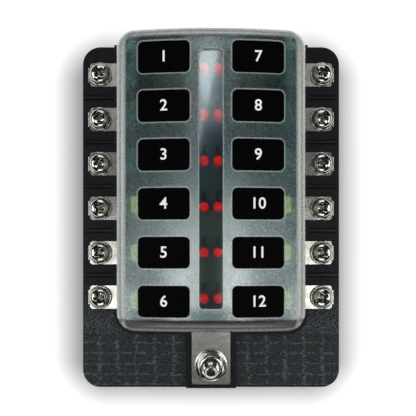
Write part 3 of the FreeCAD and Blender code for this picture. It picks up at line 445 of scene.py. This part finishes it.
coverLook = {
    "milk": (0.46, 0.66, 0.69, 1.0),
    "paleMilk": (0.68, 0.84, 0.86, 1.0),
    "shadedMilk": (0.20, 0.31, 0.33, 1.0),   # between the labels of the far rows
    "litWallMilk": (0.60, 0.62, 0.59, 1.0),
    "shadedEndMilk": (0.15, 0.158, 0.147, 1.0),
    "creaseShadeMilk": (0.03, 0.035, 0.035, 1.0),
    # colour of the painted highlights
    "highlightMilk": (0.94, 0.98, 0.97, 1.0),
    "litHazeMilk": (0.94, 1.0, 1.0, 1.0),
    "windowTint": (0.76, 0.87, 0.92, 1.0),
    "coatTint": (0.86, 0.98, 1.0, 1.0),
    "frost": 0.27,
    "refraction": 1.45,
    "grainDepth": 0.06 * mm,
    "windowWidth": 7.2 * mm,
    "windowLength": 79.4 * mm,
    "windowRound": 1.2 * mm,
    "windowHighlight": 0.15 * mm,       # a painted highlight round the window, and its width from full to none
    "windowHighlightWidth": (0.05 * mm, 0.25 * mm),
    "middle": 10.4 * mm,          # of the window and the rows, along Y
    "lastRow": -27.1 * mm,        # the row nearest the feed end
    "rowPitch": 15.0 * mm,
    "rows": 6,
    "labelOffset": 14.5 * mm,
    "labelWidth": 16.0 * mm,
    "labelHeight": 9.7 * mm,
    "labelRound": 1.6 * mm,
    "labelGap": 0.2 * mm,
    # width of the painted highlight round each label
    "rimWidth": 0.24 * mm,
    "highlightStart": 33.0 * mm,        # the painted highlight rims lie above this height
    "wallsClear": 26.0 * mm,      # the walls below this height are less milky and carry less of the end's painted shade
    "wallsFade": 5.0 * mm,
    "shoulderHighlight": 27.1 * mm,           # a painted highlight along both shoulders
    "shoulderHighlightWidth": (0.1 * mm, 1.2 * mm),
    "sideBand": 26.0 * mm,        # the pale band along both sides starts here: thicker frost, its paleness painted light coming through the walls
    "farBand": 53.8 * mm,         # and at the far end
    "nearBand": -32.3 * mm,       # a darker band of painted shade at the feed end, behind a crease of painted shade
    "bandFade": 0.9 * mm,
    "farFade": 1.2 * mm,
    "creaseShadeWidth": 0.6 * mm,
    "shadeColumn": (7.0 * mm, 10.0 * mm, 21.5 * mm, 24.5 * mm),  # where a column's shade comes and goes
    "shadeStart": 20.0 * mm,      # it grows from here to the far end
    "shadeReach": 20.0 * mm,
    "litHazeWidth": (3.0 * mm, 22.0 * mm),   # painted light: palest and milkiest beside the window, towards the feed end
    "litHazeFar": 28.0 * mm,
    "litHazeReach": 42.0 * mm,
    "litHazeNear": 31.5 * mm,        # and less so at the very end
    "litHazeEnd": 4.5 * mm,
    "dimStart": 8.0 * mm,         # the coat shines less from here to the far end
    "dimReach": 30.0 * mm,
}


def coverPlastic():
    look = coverLook
    f = Finish("coverPlastic")
    x, y, z = f.axes()
    aside = abs(x)
    toFeed = -y
    toWindow = roundedBox(aside, abs(y - look["middle"]), look["windowWidth"] / 2, look["windowLength"] / 2,
                          look["windowRound"])
    row = ((y - look["lastRow"]) / look["rowPitch"]).larger(0.0).smaller(look["rows"] - 1.0)
    fromRow = abs(y - look["lastRow"] - row.rounded() * look["rowPitch"])
    toLabel = roundedBox(abs(aside - look["labelOffset"]), fromRow, look["labelWidth"] / 2,
                         look["labelHeight"] / 2, look["labelRound"])
    # painted highlights round the labels and the window
    labelHighlight = 1 - abs(toLabel - look["labelGap"]).ramp(look["rimWidth"] * 0.5, look["rimWidth"])
    windowHighlight = 1 - abs(toWindow - look["windowHighlight"]).ramp(*look["windowHighlightWidth"])
    rim = labelHighlight.larger(windowHighlight * 0.7) * (z > look["highlightStart"])

    speckle = f.noise(2300.0, 2.0, 0.7)
    mottle = f.noise(420.0, 3.0, 0.6)
    cloud = f.noise(60.0, 2.0)
    dots = f.noise(1500.0, 1.0, 0.5).ramp(0.40, 0.66)
    upper = 0.25 + z.ramp(look["wallsClear"], look["wallsClear"] + look["wallsFade"]) * 0.75
    side = aside.ramp(look["sideBand"], look["sideBand"] + look["bandFade"])
    far = y.ramp(look["farBand"], look["farBand"] + look["farFade"])
    nearStart = look["bandFade"] - look["nearBand"]
    near = toFeed.ramp(-look["nearBand"], nearStart)
    # painted shade: a dark crease above the feed end's wall, and the wall below it darker
    creaseShade = near * (1 - toFeed.ramp(nearStart, nearStart + look["creaseShadeWidth"]))
    shoulderHighlight = 1 - abs(aside - look["shoulderHighlight"]).ramp(*look["shoulderHighlightWidth"])
    columnIn, columnFull, columnLeft, columnOut = look["shadeColumn"]
    shaded = aside.ramp(columnIn, columnFull) * (1 - aside.ramp(columnLeft, columnOut))
    shaded = shaded * (y - look["shadeStart"]).ramp(0.0, look["shadeReach"])
    colour = f.mix(speckle.ramp(0.35, 0.7) * (0.5 + cloud * 0.5), look["milk"], look["paleMilk"])
    colour = f.mix(shaded, colour, look["shadedMilk"])
    # painted light: the side and far walls are paler
    colour = f.mix(side.larger(far), colour, look["litWallMilk"])
    colour = f.mix(near * upper, colour, look["shadedEndMilk"])
    colour = f.mix(creaseShade, colour, look["creaseShadeMilk"])
    colour = f.mix(shoulderHighlight * 0.5, colour, look["highlightMilk"])

    # painted light: the cover is paler and milkier beside the window towards the feed end
    litHaze = (1 - aside.ramp(*look["litHazeWidth"])) * (look["litHazeFar"] + toFeed).ramp(0.0, look["litHazeReach"])
    litHaze = litHaze * (0.25 + (y + look["litHazeNear"]).ramp(0.0, look["litHazeEnd"]) * 0.75)
    dimmed = 1 - (y - look["dimStart"]).ramp(0.0, look["dimReach"]) * 0.68
    plastic = {"Roughness": look["frost"] + (mottle - 0.5) * 0.14, "IOR": look["refraction"]}
    grain = f.bump(speckle, 0.12, look["grainDepth"])
    frost = {**plastic, "Normal": grain, "Coat Roughness": 0.19, "Coat IOR": 2.05,
             "Coat Tint": look["coatTint"]}
    thin = f.principled({**frost, "Base Color": colour, "Transmission Weight": 0.94,
                         "Coat Weight": (0.66 + dots * 0.30) * dimmed})
    dense = f.principled({**frost, "Base Color": f.mix(litHaze, colour, look["litHazeMilk"]),
                          "Transmission Weight": 0.35, "Coat Weight": 0.45 + dots * 0.45})
    edge = f.principled({**plastic, "Base Color": colour, "Transmission Weight": 0.35,
                         "Coat Weight": (0.75 - near * 0.45) * (1 - creaseShade), "Coat Roughness": 0.22,
                         "Coat IOR": 1.9, "Normal": f.bump(speckle, 0.02, 0.05 * mm)})
    # pale paint for the painted highlight rims
    highlightPaint = f.principled({"Base Color": look["highlightMilk"], "Roughness": 0.25, "Normal": grain})
    clear = f.principled({"Base Color": look["windowTint"], "Roughness": 0.06, "IOR": look["refraction"],
                          "Transmission Weight": 1.0, "Coat Weight": 1.0, "Coat Roughness": 0.12,
                          "Coat Tint": look["coatTint"], "Coat IOR": 1.7,
                          "Normal": f.bump(f.noise(70.0, 1.0), 0.05, 0.1 * mm)})
    frosted = f.blend(litHaze.larger(dots * 0.10), thin, dense)
    frosted = f.blend(side.larger(far).larger(near) * upper, frosted, edge)
    frosted = f.blend(rim * 0.5, frosted, highlightPaint)
    return f.finish(f.blend(toWindow < 0.0, frosted, clear))


def labelFilm():
    f = Finish("labelFilm")
    grain = f.noise(1400.0, 2.0)
    scuffs = f.noise(160.0, 4.0, 0.7)
    colour = f.mix(scuffs.ramp(0.5, 0.8) * 0.6, grey(0.0015), grey(0.005))
    return f.finish(f.principled({"Base Color": colour, "Roughness": 0.38 + grain * 0.15,
                                  "Specular IOR Level": 0.03, "Normal": f.bump(grain, 0.1, 0.03 * mm)}))


# Numbers on the labels

numberLook = {
    "size": 4.86 * mm,     # gives digits about 3.6 mm high
    "thicken": 0.06 * mm,
    "sink": 0.07 * mm,     # below the crown of the arch
    "archRadius": 139.0 * mm,
    "crown": 38.0 * mm,
    # painted light: the ink glows a little
    "glow": 0.3,
}


def numberInk():
    f = Finish("numberInk")
    patchy = f.noise(1900.0, 3.0, 0.6)
    colour = f.mix(patchy.ramp(0.3, 0.75), grey(0.94), grey(0.86))
    return f.finish(f.principled({"Base Color": colour, "Roughness": 0.5,
                                  "Normal": f.bump(patchy, 0.1, 0.02 * mm),
                                  "Emission Color": grey(1.0), "Emission Strength": numberLook["glow"]}))


def labelNumbers(ink):
    look = numberLook
    rows = coverLook["rows"]
    low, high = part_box("circuit_labels")
    offset = high.x - coverLook["labelWidth"] / 2
    firstRow = high.y - coverLook["labelHeight"] / 2
    pitch = (high.y - low.y - coverLook["labelHeight"]) / (rows - 1)
    for number in range(1, 2 * rows + 1):
        side = -1 if number <= rows else 1
        row = (number - 1) % rows
        bpy.ops.object.text_add(location=(0, 0, 0))
        text = newPiece(f"labelNumber{number:02d}")
        text.data.body = str(number)
        text.data.size = look["size"]
        text.data.align_x = "CENTER"
        text.data.align_y = "CENTER"
        text.data.offset = look["thicken"]
        text.data.resolution_u = 4
        bpy.ops.object.convert(target="MESH")
        text = bpy.context.object
        text.location = (side * offset, firstRow - pitch * row, 0)
        settle(text)
        for corner in text.data.vertices:  # lays the number on the arch
            drop = look["archRadius"] - math.sqrt(look["archRadius"] ** 2 - corner.co.x ** 2)
            corner.co.z = look["crown"] - look["sink"] - drop
        text.data.materials.clear()
        text.data.materials.append(ink)
        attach(text, "cover")
    print("numbers set on the labels")


# Metals

metalLook = {
    "tin": (0.60, 0.61, 0.56, 1.0),
    "tinStain": (0.42, 0.43, 0.39, 1.0),
    "tinStreak": (0.72, 0.73, 0.69, 1.0),
    "steel": (0.66, 0.65, 0.60, 1.0),
    "dullSteel": (0.48, 0.47, 0.43, 1.0),
    "recessShade": (0.10, 0.098, 0.09, 1.0),
    "zinc": (0.62, 0.63, 0.65, 1.0),
    "dullZinc": (0.46, 0.47, 0.49, 1.0),
}


def tinnedBrass():
    look = metalLook
    f = Finish("tinnedBrass")
    streaks = f.noise(700.0, 3.0, 0.6, f.stretched((0.12, 1.0, 1.0)))
    stain = f.noise(330.0, 3.0, 0.6)
    colour = f.mix(stain.ramp(0.3, 0.7), look["tin"], look["tinStain"])
    colour = f.mix(streaks.ramp(0.55, 0.8) * 0.5, colour, look["tinStreak"])
    roughness = 0.15 + stain * 0.10 + streaks * 0.05
    return f.finish(f.principled({"Base Color": colour, "Roughness": roughness, "Metallic": 0.95,
                                  "Normal": f.bump(streaks, 0.25, 0.05 * mm)}))


def screwSteel():
    look = metalLook
    f = Finish("screwSteel")
    turning = f.noise(1500.0, 3.0, 0.6)
    dull = f.noise(420.0, 3.0, 0.6)
    colour = f.mix(dull.ramp(0.35, 0.7), look["steel"], look["dullSteel"])
    recess = f.node("ShaderNodeAttribute", {"attribute_name": "recess"}, out=2)
    # painted shade inside the recess
    colour = f.mix(recess * 0.85, colour, look["recessShade"])
    roughness = 0.09 + turning * 0.07 + recess * 0.12
    return f.finish(f.principled({"Base Color": colour, "Roughness": roughness, "Metallic": 1.0,
                                  "Normal": f.bump(turning, 0.12, 0.04 * mm)}))


def fuseZinc():
    look = metalLook
    f = Finish("fuseZinc")
    rolled = f.noise(600.0, 3.0, 0.6, f.stretched((1.0, 1.0, 0.15)))
    colour = f.mix(rolled, look["zinc"], look["dullZinc"])
    return f.finish(f.principled({"Base Color": colour, "Roughness": 0.28 + rolled * 0.2, "Metallic": 1.0,
                                  "Normal": f.bump(rolled, 0.2, 0.03 * mm)}))


# Cup washers under the terminal screws

washerLook = {
    "bore": 1.9 * mm,
    "radius": 3.9 * mm,
    "rimTop": 1.3 * mm,
    "rimWidth": 0.62 * mm,
    "rimGap": 0.04 * mm,      # between the rounded crown and the rim's walls
    "rimDrop": 0.05 * mm,
    "floor": 0.75 * mm,
    "floorRound": 0.16 * mm,
    "edge": 0.14 * mm,
    "steps": 72,
    "turnStep": 13,           # each washer is turned this many degrees from the last
}


def cupWasher():
    look = washerLook
    edge = look["edge"]
    crown = look["rimWidth"] / 2 - look["rimGap"]
    crownFoot = look["rimTop"] - crown
    inside = look["radius"] - look["rimWidth"]
    rings = [(look["bore"], 0.0), (look["radius"] - edge, 0.0), (look["radius"], edge),
             (look["radius"], crownFoot - look["rimDrop"])]
    rings += quarter(look["radius"] - look["rimWidth"] / 2, crownFoot, crown, 0, 180, 8)
    rings += [(inside - look["rimGap"], look["floor"] + edge), (inside - look["floorRound"], look["floor"]),
              (look["bore"] + edge, look["floor"]), (look["bore"], look["floor"] - edge), (look["bore"], 0.0)]
    return smoothed(turned("cupWasher", rings, look["steps"], solid=False), 50)


def dressWashers(ways, steel):
    master = cupWasher()
    for way in ways:
        across, along, low, high = middleOf(f"terminal_washer_{way:02d}")
        piece = copied(master, f"cupWasher{way:02d}", (across, along, low), washerLook["turnStep"] * way)
        piece.data.materials.append(steel)
        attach(piece, f"washer_{way:02d}")
        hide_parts(f"terminal_washer_{way:02d}")
    bpy.data.objects.remove(master)
    print("cup washers set")


# Terminal screws

screwLook = {
    "headRadius": 3.25 * mm,
    "headHeight": 2.6 * mm,
    "headRim": 0.9 * mm,
    "rimEdge": (0.10 * mm, 0.12 * mm),   # bevel under the head, inwards and upwards
    "domeAngles": (0, 10, 20, 31, 42, 53, 64, 74, 84),
    "crest": 1.75 * mm,
    "root": 1.38 * mm,
    "pitch": 0.6 * mm,
    "length": 10.5 * mm,
    "tip": 0.5 * mm,
    "neck": (0.9 * mm, 0.5 * mm),        # the shank widens between these depths
    "armWidth": 1.35 * mm,
    "armLength": 4.5 * mm,
    "recessDepth": 1.7 * mm,
    "recessFloor": 0.45,                 # the recess's floor, as a share of its mouth
    "recessAbove": 0.3 * mm,             # how far the cutting tool stands out of the head
    "innerRound": 0.62 * mm,
    "endRound": 0.45 * mm,
    "lipRound": 0.16 * mm,
    "markDepth": 0.14 * mm,              # faces this far below the dome belong to the recess
    "markLow": 0.3 * mm,                 # and above this height
    "markShare": 0.78,                   # and within this share of the head's radius
    "turns": [52, 2, 20, 65, 38, 12, 28, 70, 5, 44, 60, 33],  # as they were tightened
}


def crossRecess():  # the tool that cuts the recess
    look = screwLook
    deselectAll()
    half = look["armWidth"] / 2
    reach = look["armLength"] / 2 - half
    above = look["recessAbove"]
    depth = look["recessDepth"] + above
    bpy.ops.mesh.primitive_cube_add(size=1.0, location=(0, 0, look["headHeight"] + above - depth / 2),
                                    scale=(2 * half, 2 * half, depth))
    piece = settle(newPiece("crossRecess"))
    for side in (Vector((1, 0, 0)), Vector((-1, 0, 0)), Vector((0, 1, 0)), Vector((0, -1, 0))):
        pickFaces(piece, lambda face: face.normal.dot(side) > 0.9 and face.center.dot(side) < 1.1 * half
                  and (face.center - side * half).xy.length < 0.1 * half)
        bpy.ops.mesh.extrude_region_move(TRANSFORM_OT_translate={"value": side * reach})
    bpy.ops.object.mode_set(mode="OBJECT")

    def upright(a, b):
        return (a - b).xy.length < 0.01 * mm

    def inner(a, b):
        return upright(a, b) and max(abs(a.x), abs(a.y)) < 1.05 * half

    def outer(a, b):
        return upright(a, b) and max(abs(a.x), abs(a.y)) > half + 0.9 * reach

    pickEdges(piece, inner)
    bpy.ops.mesh.bevel(offset=look["innerRound"], segments=4, affect="EDGES")
    pickEdges(piece, outer)
    bpy.ops.mesh.bevel(offset=look["endRound"], segments=4, affect="EDGES")
    pickFaces(piece, lambda face: face.normal.z < -0.9)
    bpy.ops.transform.resize(value=(look["recessFloor"], look["recessFloor"], 1.0))
    bpy.ops.object.mode_set(mode="OBJECT")
    return piece


def markRecess(piece):  # the steel's finish darkens the marked faces with painted shade
    look = screwLook
    inside = piece.data.attributes.new("recess", "FLOAT", "FACE")
    for face in piece.data.polygons:
        share = min(face.center.xy.length / look["headRadius"], 1.0)
        dome = look["headRim"] + (look["headHeight"] - look["headRim"]) * math.sqrt(1 - share * share)
        low = face.center.z < dome - look["markDepth"]
        inHead = face.center.z > look["markLow"]
        inside.data[face.index].value = 1.0 if low and inHead and share < look["markShare"] else 0.0


def terminalScrew():
    look = screwLook
    rim = look["headRim"]
    neckLow, neckHigh = look["neck"]
    edgeIn, edgeUp = look["rimEdge"]
    rings = [(look["root"] - look["tip"] * 0.8, -look["length"]),
             (look["root"], look["tip"] - look["length"]), (look["root"], -neckLow),
             (look["crest"], -neckHigh), (look["crest"], 0.0),
             (look["headRadius"] - edgeIn, 0.0), (look["headRadius"], edgeUp)]
    for angle in look["domeAngles"]:
        rings.append((look["headRadius"] * math.cos(math.radians(angle)),
                      rim + (look["headHeight"] - rim) * math.sin(math.radians(angle))))
    piece = turned("terminalScrew", rings, 64)
    carved(piece, crossRecess(), "DIFFERENCE")
    bevelled(piece, look["lipRound"], 2, 38)
    markRecess(piece)
    thread = threadRidge("screwThread", look["root"], look["crest"], look["pitch"],
                         look["pitch"] - look["length"], -neckHigh, 18)
    return smoothed(joined([piece, thread]), 34)


def dressScrews(ways, steel):
    master = terminalScrew()
    for way, turn in zip(ways, screwLook["turns"]):
        across, along, low, high = middleOf(f"terminal_screw_{way:02d}")
        seat = (across, along, high - screwLook["headHeight"])
        piece = copied(master, f"terminalScrew{way:02d}", seat, turn)
        piece.data.materials.append(steel)
        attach(piece, f"screw_{way:02d}")
        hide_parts(f"terminal_screw_{way:02d}")
    bpy.data.objects.remove(master)
    print("terminal screws set")


# Feed stud with its washer and nut

studLook = {
    "crest": 2.5 * mm,
    "root": 2.05 * mm,
    "pitch": 0.8 * mm,
    "tip": 0.7 * mm,
    "tipRound": ((0.38 * mm, 0.10 * mm), (0.52 * mm, 0.02 * mm), (0.70 * mm, 0.0)),  # inwards and down
    "tipMiddle": 0.4 * mm,
    "threadPast": 0.1 * mm,    # the thread runs out just past the tip
    "headAcross": 8.0 * mm,
    "headHeight": 3.5 * mm,
    "headEdge": 0.25 * mm,
    "shankSink": 0.4 * mm,     # the shank starts this far down in the head
    "washerRadius": 5.5 * mm,
    "washerEdge": 0.22 * mm,
    "washerLead": 0.08 * mm,
    "nutAcross": 8.0 * mm,
    "nutHeight": 4.0 * mm,
    "nutBevel": 0.5 * mm,
    "nutFace": 0.1 * mm,       # the round face is this much smaller than the flats
    "nutPast": 0.2 * mm,       # the turned blank is this much larger than the corners
    "nutLead": 0.35 * mm,
    "nutEdge": 0.07 * mm,
    "nutTurn": 17,
    "fit": 0.08 * mm,
}


def hexagon(name, across, low, high, turn):
    deselectAll()
    radius = across / 2 / math.cos(math.radians(30))
    bpy.ops.mesh.primitive_cylinder_add(vertices=6, radius=radius, depth=high - low,
                                        location=(0, 0, (low + high) / 2),
                                        rotation=(0, 0, math.radians(30 + turn)))
    return settle(newPiece(name))


def threadedStud(length):
    look = studLook
    root = look["root"]
    rings = [(root, look["headHeight"] - look["shankSink"]), (root, length - look["tip"])]
    rings += [(root - inwards, length - down) for inwards, down in look["tipRound"]]
    rings += [(look["tipMiddle"], length)]
    shank = turned("feedStud", rings, 48)
    thread = threadRidge("studThread", root, look["crest"], look["pitch"], look["headHeight"],
                         length + look["threadPast"], 30)
    head = hexagon("studHead", look["headAcross"], 0.0, look["headHeight"], 30)
    bevelled(head, look["headEdge"], 3, 30)
    return smoothed(joined([shank, thread, head]), 34)


def flatWasher(thickness):
    look = studLook
    edge = look["washerEdge"]
    lead = look["washerLead"]
    bore = look["crest"] + look["fit"]
    rings = [(bore, 0.0)]
    rings += quarter(look["washerRadius"] - edge, edge, edge, -90, 0, 4)
    rings += quarter(look["washerRadius"] - edge, thickness - edge, edge, 0, 90, 4)
    rings += [(bore + lead, thickness), (bore, thickness - lead), (bore, 0.0)]
    return smoothed(turned("studFlatWasher", rings, 80, solid=False), 50)


def feedNut():
    look = studLook
    high = look["nutHeight"]
    bevel = look["nutBevel"]
    lead = look["nutLead"]
    flat = look["nutAcross"] / 2
    face = flat - look["nutFace"]
    blank = flat / math.cos(math.radians(30)) + look["nutPast"]
    bore = look["crest"] + look["fit"]
    rings = [(bore + lead, 0.0), (face, 0.0), (blank, bevel), (blank, high - bevel), (face, high),
             (bore + lead, high), (bore, high - lead), (bore, lead), (bore + lead, 0.0)]
    piece = turned("feedNut", rings, 96, solid=False)
    sides = hexagon("nutSides", look["nutAcross"], -1.0 * mm, high + 1.0 * mm, look["nutTurn"] + 30)
    carved(piece, sides, "INTERSECT")
    bevelled(piece, look["nutEdge"], 2, 40)
    return smoothed(piece, 30)


def dressFeed(steel):
    for piece, node, body in ((threadedStud(boxHeight("feed_stud")), "feed_stud", "base"),
                              (flatWasher(boxHeight("stud_flat_washer")), "stud_flat_washer", "base"),
                              (feedNut(), "stud_nut", "nut")):
        across, along, low, high = middleOf(node)
        piece.data.transform(Matrix.Translation((across, along, low)))
        piece.data.materials.append(steel)
        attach(piece, body)
        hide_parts(node)
    print("feed stud set")


# Lamps and their board

lampLook = {
    "deepRed": (0.50, 0.008, 0.014, 1.0),
    "paleRed": (0.66, 0.015, 0.025, 1.0),
    "sideGlow": (0.40, 0.000, 0.001, 1.0),
    "topHighlightGlow": (1.0, 0.004, 0.012, 1.0),
    # painted light: the glow stands for the lamps' brightness
    "glow": 0.7,
    "dome": (26.3 * mm, 27.9 * mm),      # the glow grows between these heights, a painted highlight on the dome's top
}


def lampRed():
    look = lampLook
    f = Finish("lampRed")
    x, y, z = f.axes()
    depth = f.noise(900.0, 2.0)
    colour = f.mix(depth, look["deepRed"], look["paleRed"])
    # painted highlight: the glow is brighter on the dome's top
    glow = f.mix(z.ramp(*look["dome"]), look["sideGlow"], look["topHighlightGlow"])
    return f.finish(f.principled({"Base Color": colour, "Roughness": 0.12 + depth * 0.08,
                                  "Emission Color": glow, "Emission Strength": look["glow"]}))


boardLook = {
    "mask": (0.088, 0.118, 0.180, 1.0),
    "paleMask": (0.120, 0.158, 0.235, 1.0),
    "chipTone": (0.045, 0.052, 0.062, 1.0),
    "chipStart": (22.65 * mm, 22.70 * mm),  # the chips stand above this height
}


def boardMask():
    look = boardLook
    f = Finish("boardMask")
    x, y, z = f.axes()
    mottle = f.noise(800.0, 3.0)
    colour = f.mix(mottle, look["mask"], look["paleMask"])
    colour = f.mix(z.ramp(*look["chipStart"]), colour, look["chipTone"])
    return f.finish(f.principled({"Base Color": colour, "Roughness": 0.38 + mottle * 0.2,
                                  "Normal": f.bump(mottle, 0.2, 0.03 * mm)}))


# Fuse bodies

fuseLook = {
    "green": ((0.02, 0.10, 0.05, 1.0), (0.04, 0.17, 0.09, 1.0)),    # deep and pale
    "yellow": ((0.86, 0.72, 0.12, 1.0), (0.98, 0.86, 0.26, 1.0)),
    "greenRows": 3,      # rows at the far end that hold green ones
    "glow": 0.24,        # stands for the light that comes through them
}


def fusePlastic(name, deep, pale):
    f = Finish(name)
    cloud = f.noise(300.0, 2.0)
    fine = f.noise(2000.0, 2.0)
    colour = f.mix(cloud, deep, pale)
    return f.finish(f.principled({"Base Color": colour, "Roughness": 0.22 + fine * 0.12,
                                  "Transmission Weight": 0.25, "Normal": f.bump(fine, 0.1, 0.03 * mm),
                                  "Emission Color": pale, "Emission Strength": fuseLook["glow"]}))


# Studio

studio = {
    "cameraHeight": 213.7 * mm,
    "cameraY": -12.2 * mm,
    "lens": 49.96,
    "sensorWidth": 36.0,
    "nearClip": 10.0 * mm,
    "photoPixels": 416,
    "shiftPixels": (-3, 45),   # the lens's shift, in the photograph's pixels
    "worldGrey": 0.01,
    "floorSize": 3.0,
    "floorDrop": 0.05 * mm,    # keeps the paper clear of the back plate
    "paper": (grey(0.90), grey(0.92)),
    "paperGlow": (grey(1.0), 0.62),   # colour and strength
    "shadeGrey": grey(0.52),   # the soft shade on the paper round the block
    "shadeGlow": grey(0.18),
    "shadeShift": 1.4 * mm,    # to the left
    "shadeHalf": (43.5 * mm, 56.6 * mm),
    "shadeRound": 7.0 * mm,
    "shadeReach": 16.0 * mm,
    "softboxes": {  # width and depth, place, turn in degrees, radiance
        "nearLeftSoftbox": ((0.15, 0.19), (-0.185, -0.095, 0.95), (0, 0, 0), 3.7),
        "nearRightSoftbox": ((0.13, 0.19), (0.165, -0.095, 0.95), (0, 0, 0), 4.8),
        "outerLeftSoftbox": ((0.26, 0.15), (-0.39, -0.015, 0.95), (0, 0, 0), 1.5),
        "outerRightSoftbox": ((0.24, 0.15), (0.40, -0.015, 0.95), (0, 0, 0), 1.8),
        "lowLeftSoftbox": ((0.22, 0.40), (-0.63, -0.29, 0.95), (0, 0, 0), 4.0),
        "lowRightSoftbox": ((0.22, 0.40), (0.63, -0.29, 0.95), (0, 0, 0), 4.0),
        "slantedSoftbox": ((0.11, 0.16), (-0.022, 0.370, 0.95), (0, 0, -30), 3.2),
        "slantedFillSoftbox": ((0.08, 0.12), (-0.075, 0.255, 0.95), (0, 0, -30), 1.5),
        "windowFillSoftbox": ((0.14, 0.20), (0.010, 0.330, 0.952), (0, 0, 0), 0.8),  # behind the slanted one
        "farLeftSoftbox": ((0.14, 0.16), (-0.23, 0.36, 0.95), (0, 0, 0), 0.8),
        "farRightSoftbox": ((0.14, 0.16), (0.23, 0.36, 0.95), (0, 0, 0), 0.8),
        "leftWall": ((0.5, 0.8), (-1.0, 0.0, 0.62), (0, -56, 0), 1.9),
        "rightWall": ((0.5, 0.8), (1.0, 0.0, 0.62), (0, 56, 0), 1.9),
        "nearWall": ((0.8, 0.5), (0.0, -1.0, 0.62), (56, 0, 0), 1.9),
        "farWall": ((0.8, 0.5), (0.0, 1.05, 0.62), (-56, 0, 0), 1.5),
    },
}


def setCamera(scene):
    camera = bpy.data.objects.new("camera", bpy.data.cameras.new("camera"))
    camera.location = (0, studio["cameraY"], studio["cameraHeight"])
    camera.data.lens = studio["lens"]
    camera.data.sensor_width = studio["sensorWidth"]
    camera.data.shift_x = studio["shiftPixels"][0] / studio["photoPixels"]
    camera.data.shift_y = studio["shiftPixels"][1] / studio["photoPixels"]
    camera.data.clip_start = studio["nearClip"]
    scene.collection.objects.link(camera)
    scene.camera = camera
    scene.view_settings.view_transform = "Standard"


def setWorld(scene):
    world = bpy.data.worlds.new("studioWorld")
    world.use_nodes = True
    background = world.node_tree.nodes["Background"]
    background.inputs["Color"].default_value = grey(1.0)
    background.inputs["Strength"].default_value = studio["worldGrey"]
    scene.world = world


def floorPaper():
    f = Finish("floorPaper")
    x, y, z = f.axes()
    around = roundedBox(abs(x + studio["shadeShift"]), abs(y), *studio["shadeHalf"], studio["shadeRound"])
    shade = 1 - around.ramp(0.0, studio["shadeReach"])
    colour = f.mix(shade, f.mix(f.noise(900.0, 2.0), *studio["paper"]), studio["shadeGrey"])
    glow, strength = studio["paperGlow"]
    return f.finish(f.principled({"Base Color": colour, "Roughness": 0.9, "Specular IOR Level": 0.0,
                                  "Emission Color": f.mix(shade, glow, studio["shadeGlow"]),
                                  "Emission Strength": strength}))


def layFloor():
    deselectAll()
    bpy.ops.mesh.primitive_plane_add(size=studio["floorSize"], location=(0, 0, -studio["floorDrop"]))
    floor = settle(newPiece("floor"))
    floor.data.materials.append(floorPaper())


def addLight(scene, name, size, location, turn, radiance):
    data = bpy.data.lights.new(name, "AREA")
    data.shape = "RECTANGLE"
    data.size, data.size_y = size
    data.energy = math.pi * size[0] * size[1] * radiance
    light = bpy.data.objects.new(name, data)
    light.location = location
    light.rotation_euler = [math.radians(angle) for angle in turn]
    scene.collection.objects.link(light)


def buildStudio():
    scene = bpy.context.scene
    setCamera(scene)
    setWorld(scene)
    layFloor()
    for name, (size, location, turn, radiance) in studio["softboxes"].items():
        addLight(scene, name, size, location, turn, radiance)
    print("studio set")


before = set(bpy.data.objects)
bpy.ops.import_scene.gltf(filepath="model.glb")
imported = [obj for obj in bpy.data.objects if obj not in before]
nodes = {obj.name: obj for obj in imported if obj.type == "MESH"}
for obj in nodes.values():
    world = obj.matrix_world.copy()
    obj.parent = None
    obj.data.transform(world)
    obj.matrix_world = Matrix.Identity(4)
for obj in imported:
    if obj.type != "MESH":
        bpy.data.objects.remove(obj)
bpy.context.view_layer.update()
print("frame loaded")

ways = range(1, 13)
greenWays = [way for way in ways if (way - 1) % coverLook["rows"] < fuseLook["greenRows"]]
yellowWays = [way for way in ways if way not in greenWays]
steel = screwSteel()
paint(nodes, ["base_housing"], basePlastic())
paint(nodes, ["back_plate"], backPlatePlastic())
paint(nodes, ["cover"], coverPlastic())
paint(nodes, ["circuit_labels"], labelFilm())
paint(nodes, ["bus_bar"] + numbered("output_terminal", ways), tinnedBrass())
paint(nodes, ["stud_lock_washer"], steel)
paint(nodes, ["circuit_board"], boardMask())
paint(nodes, ["indicator_leds"], lampRed())
paint(nodes, ["fuse_elements"], fuseZinc())
paint(nodes, numbered("fuse_housing", greenWays), fusePlastic("fuseGreen", *fuseLook["green"]))
paint(nodes, numbered("fuse_housing", yellowWays), fusePlastic("fuseYellow", *fuseLook["yellow"]))
print("finishes set")

dressWashers(ways, steel)
dressScrews(ways, steel)
dressFeed(steel)
labelNumbers(numberInk())
buildStudio()
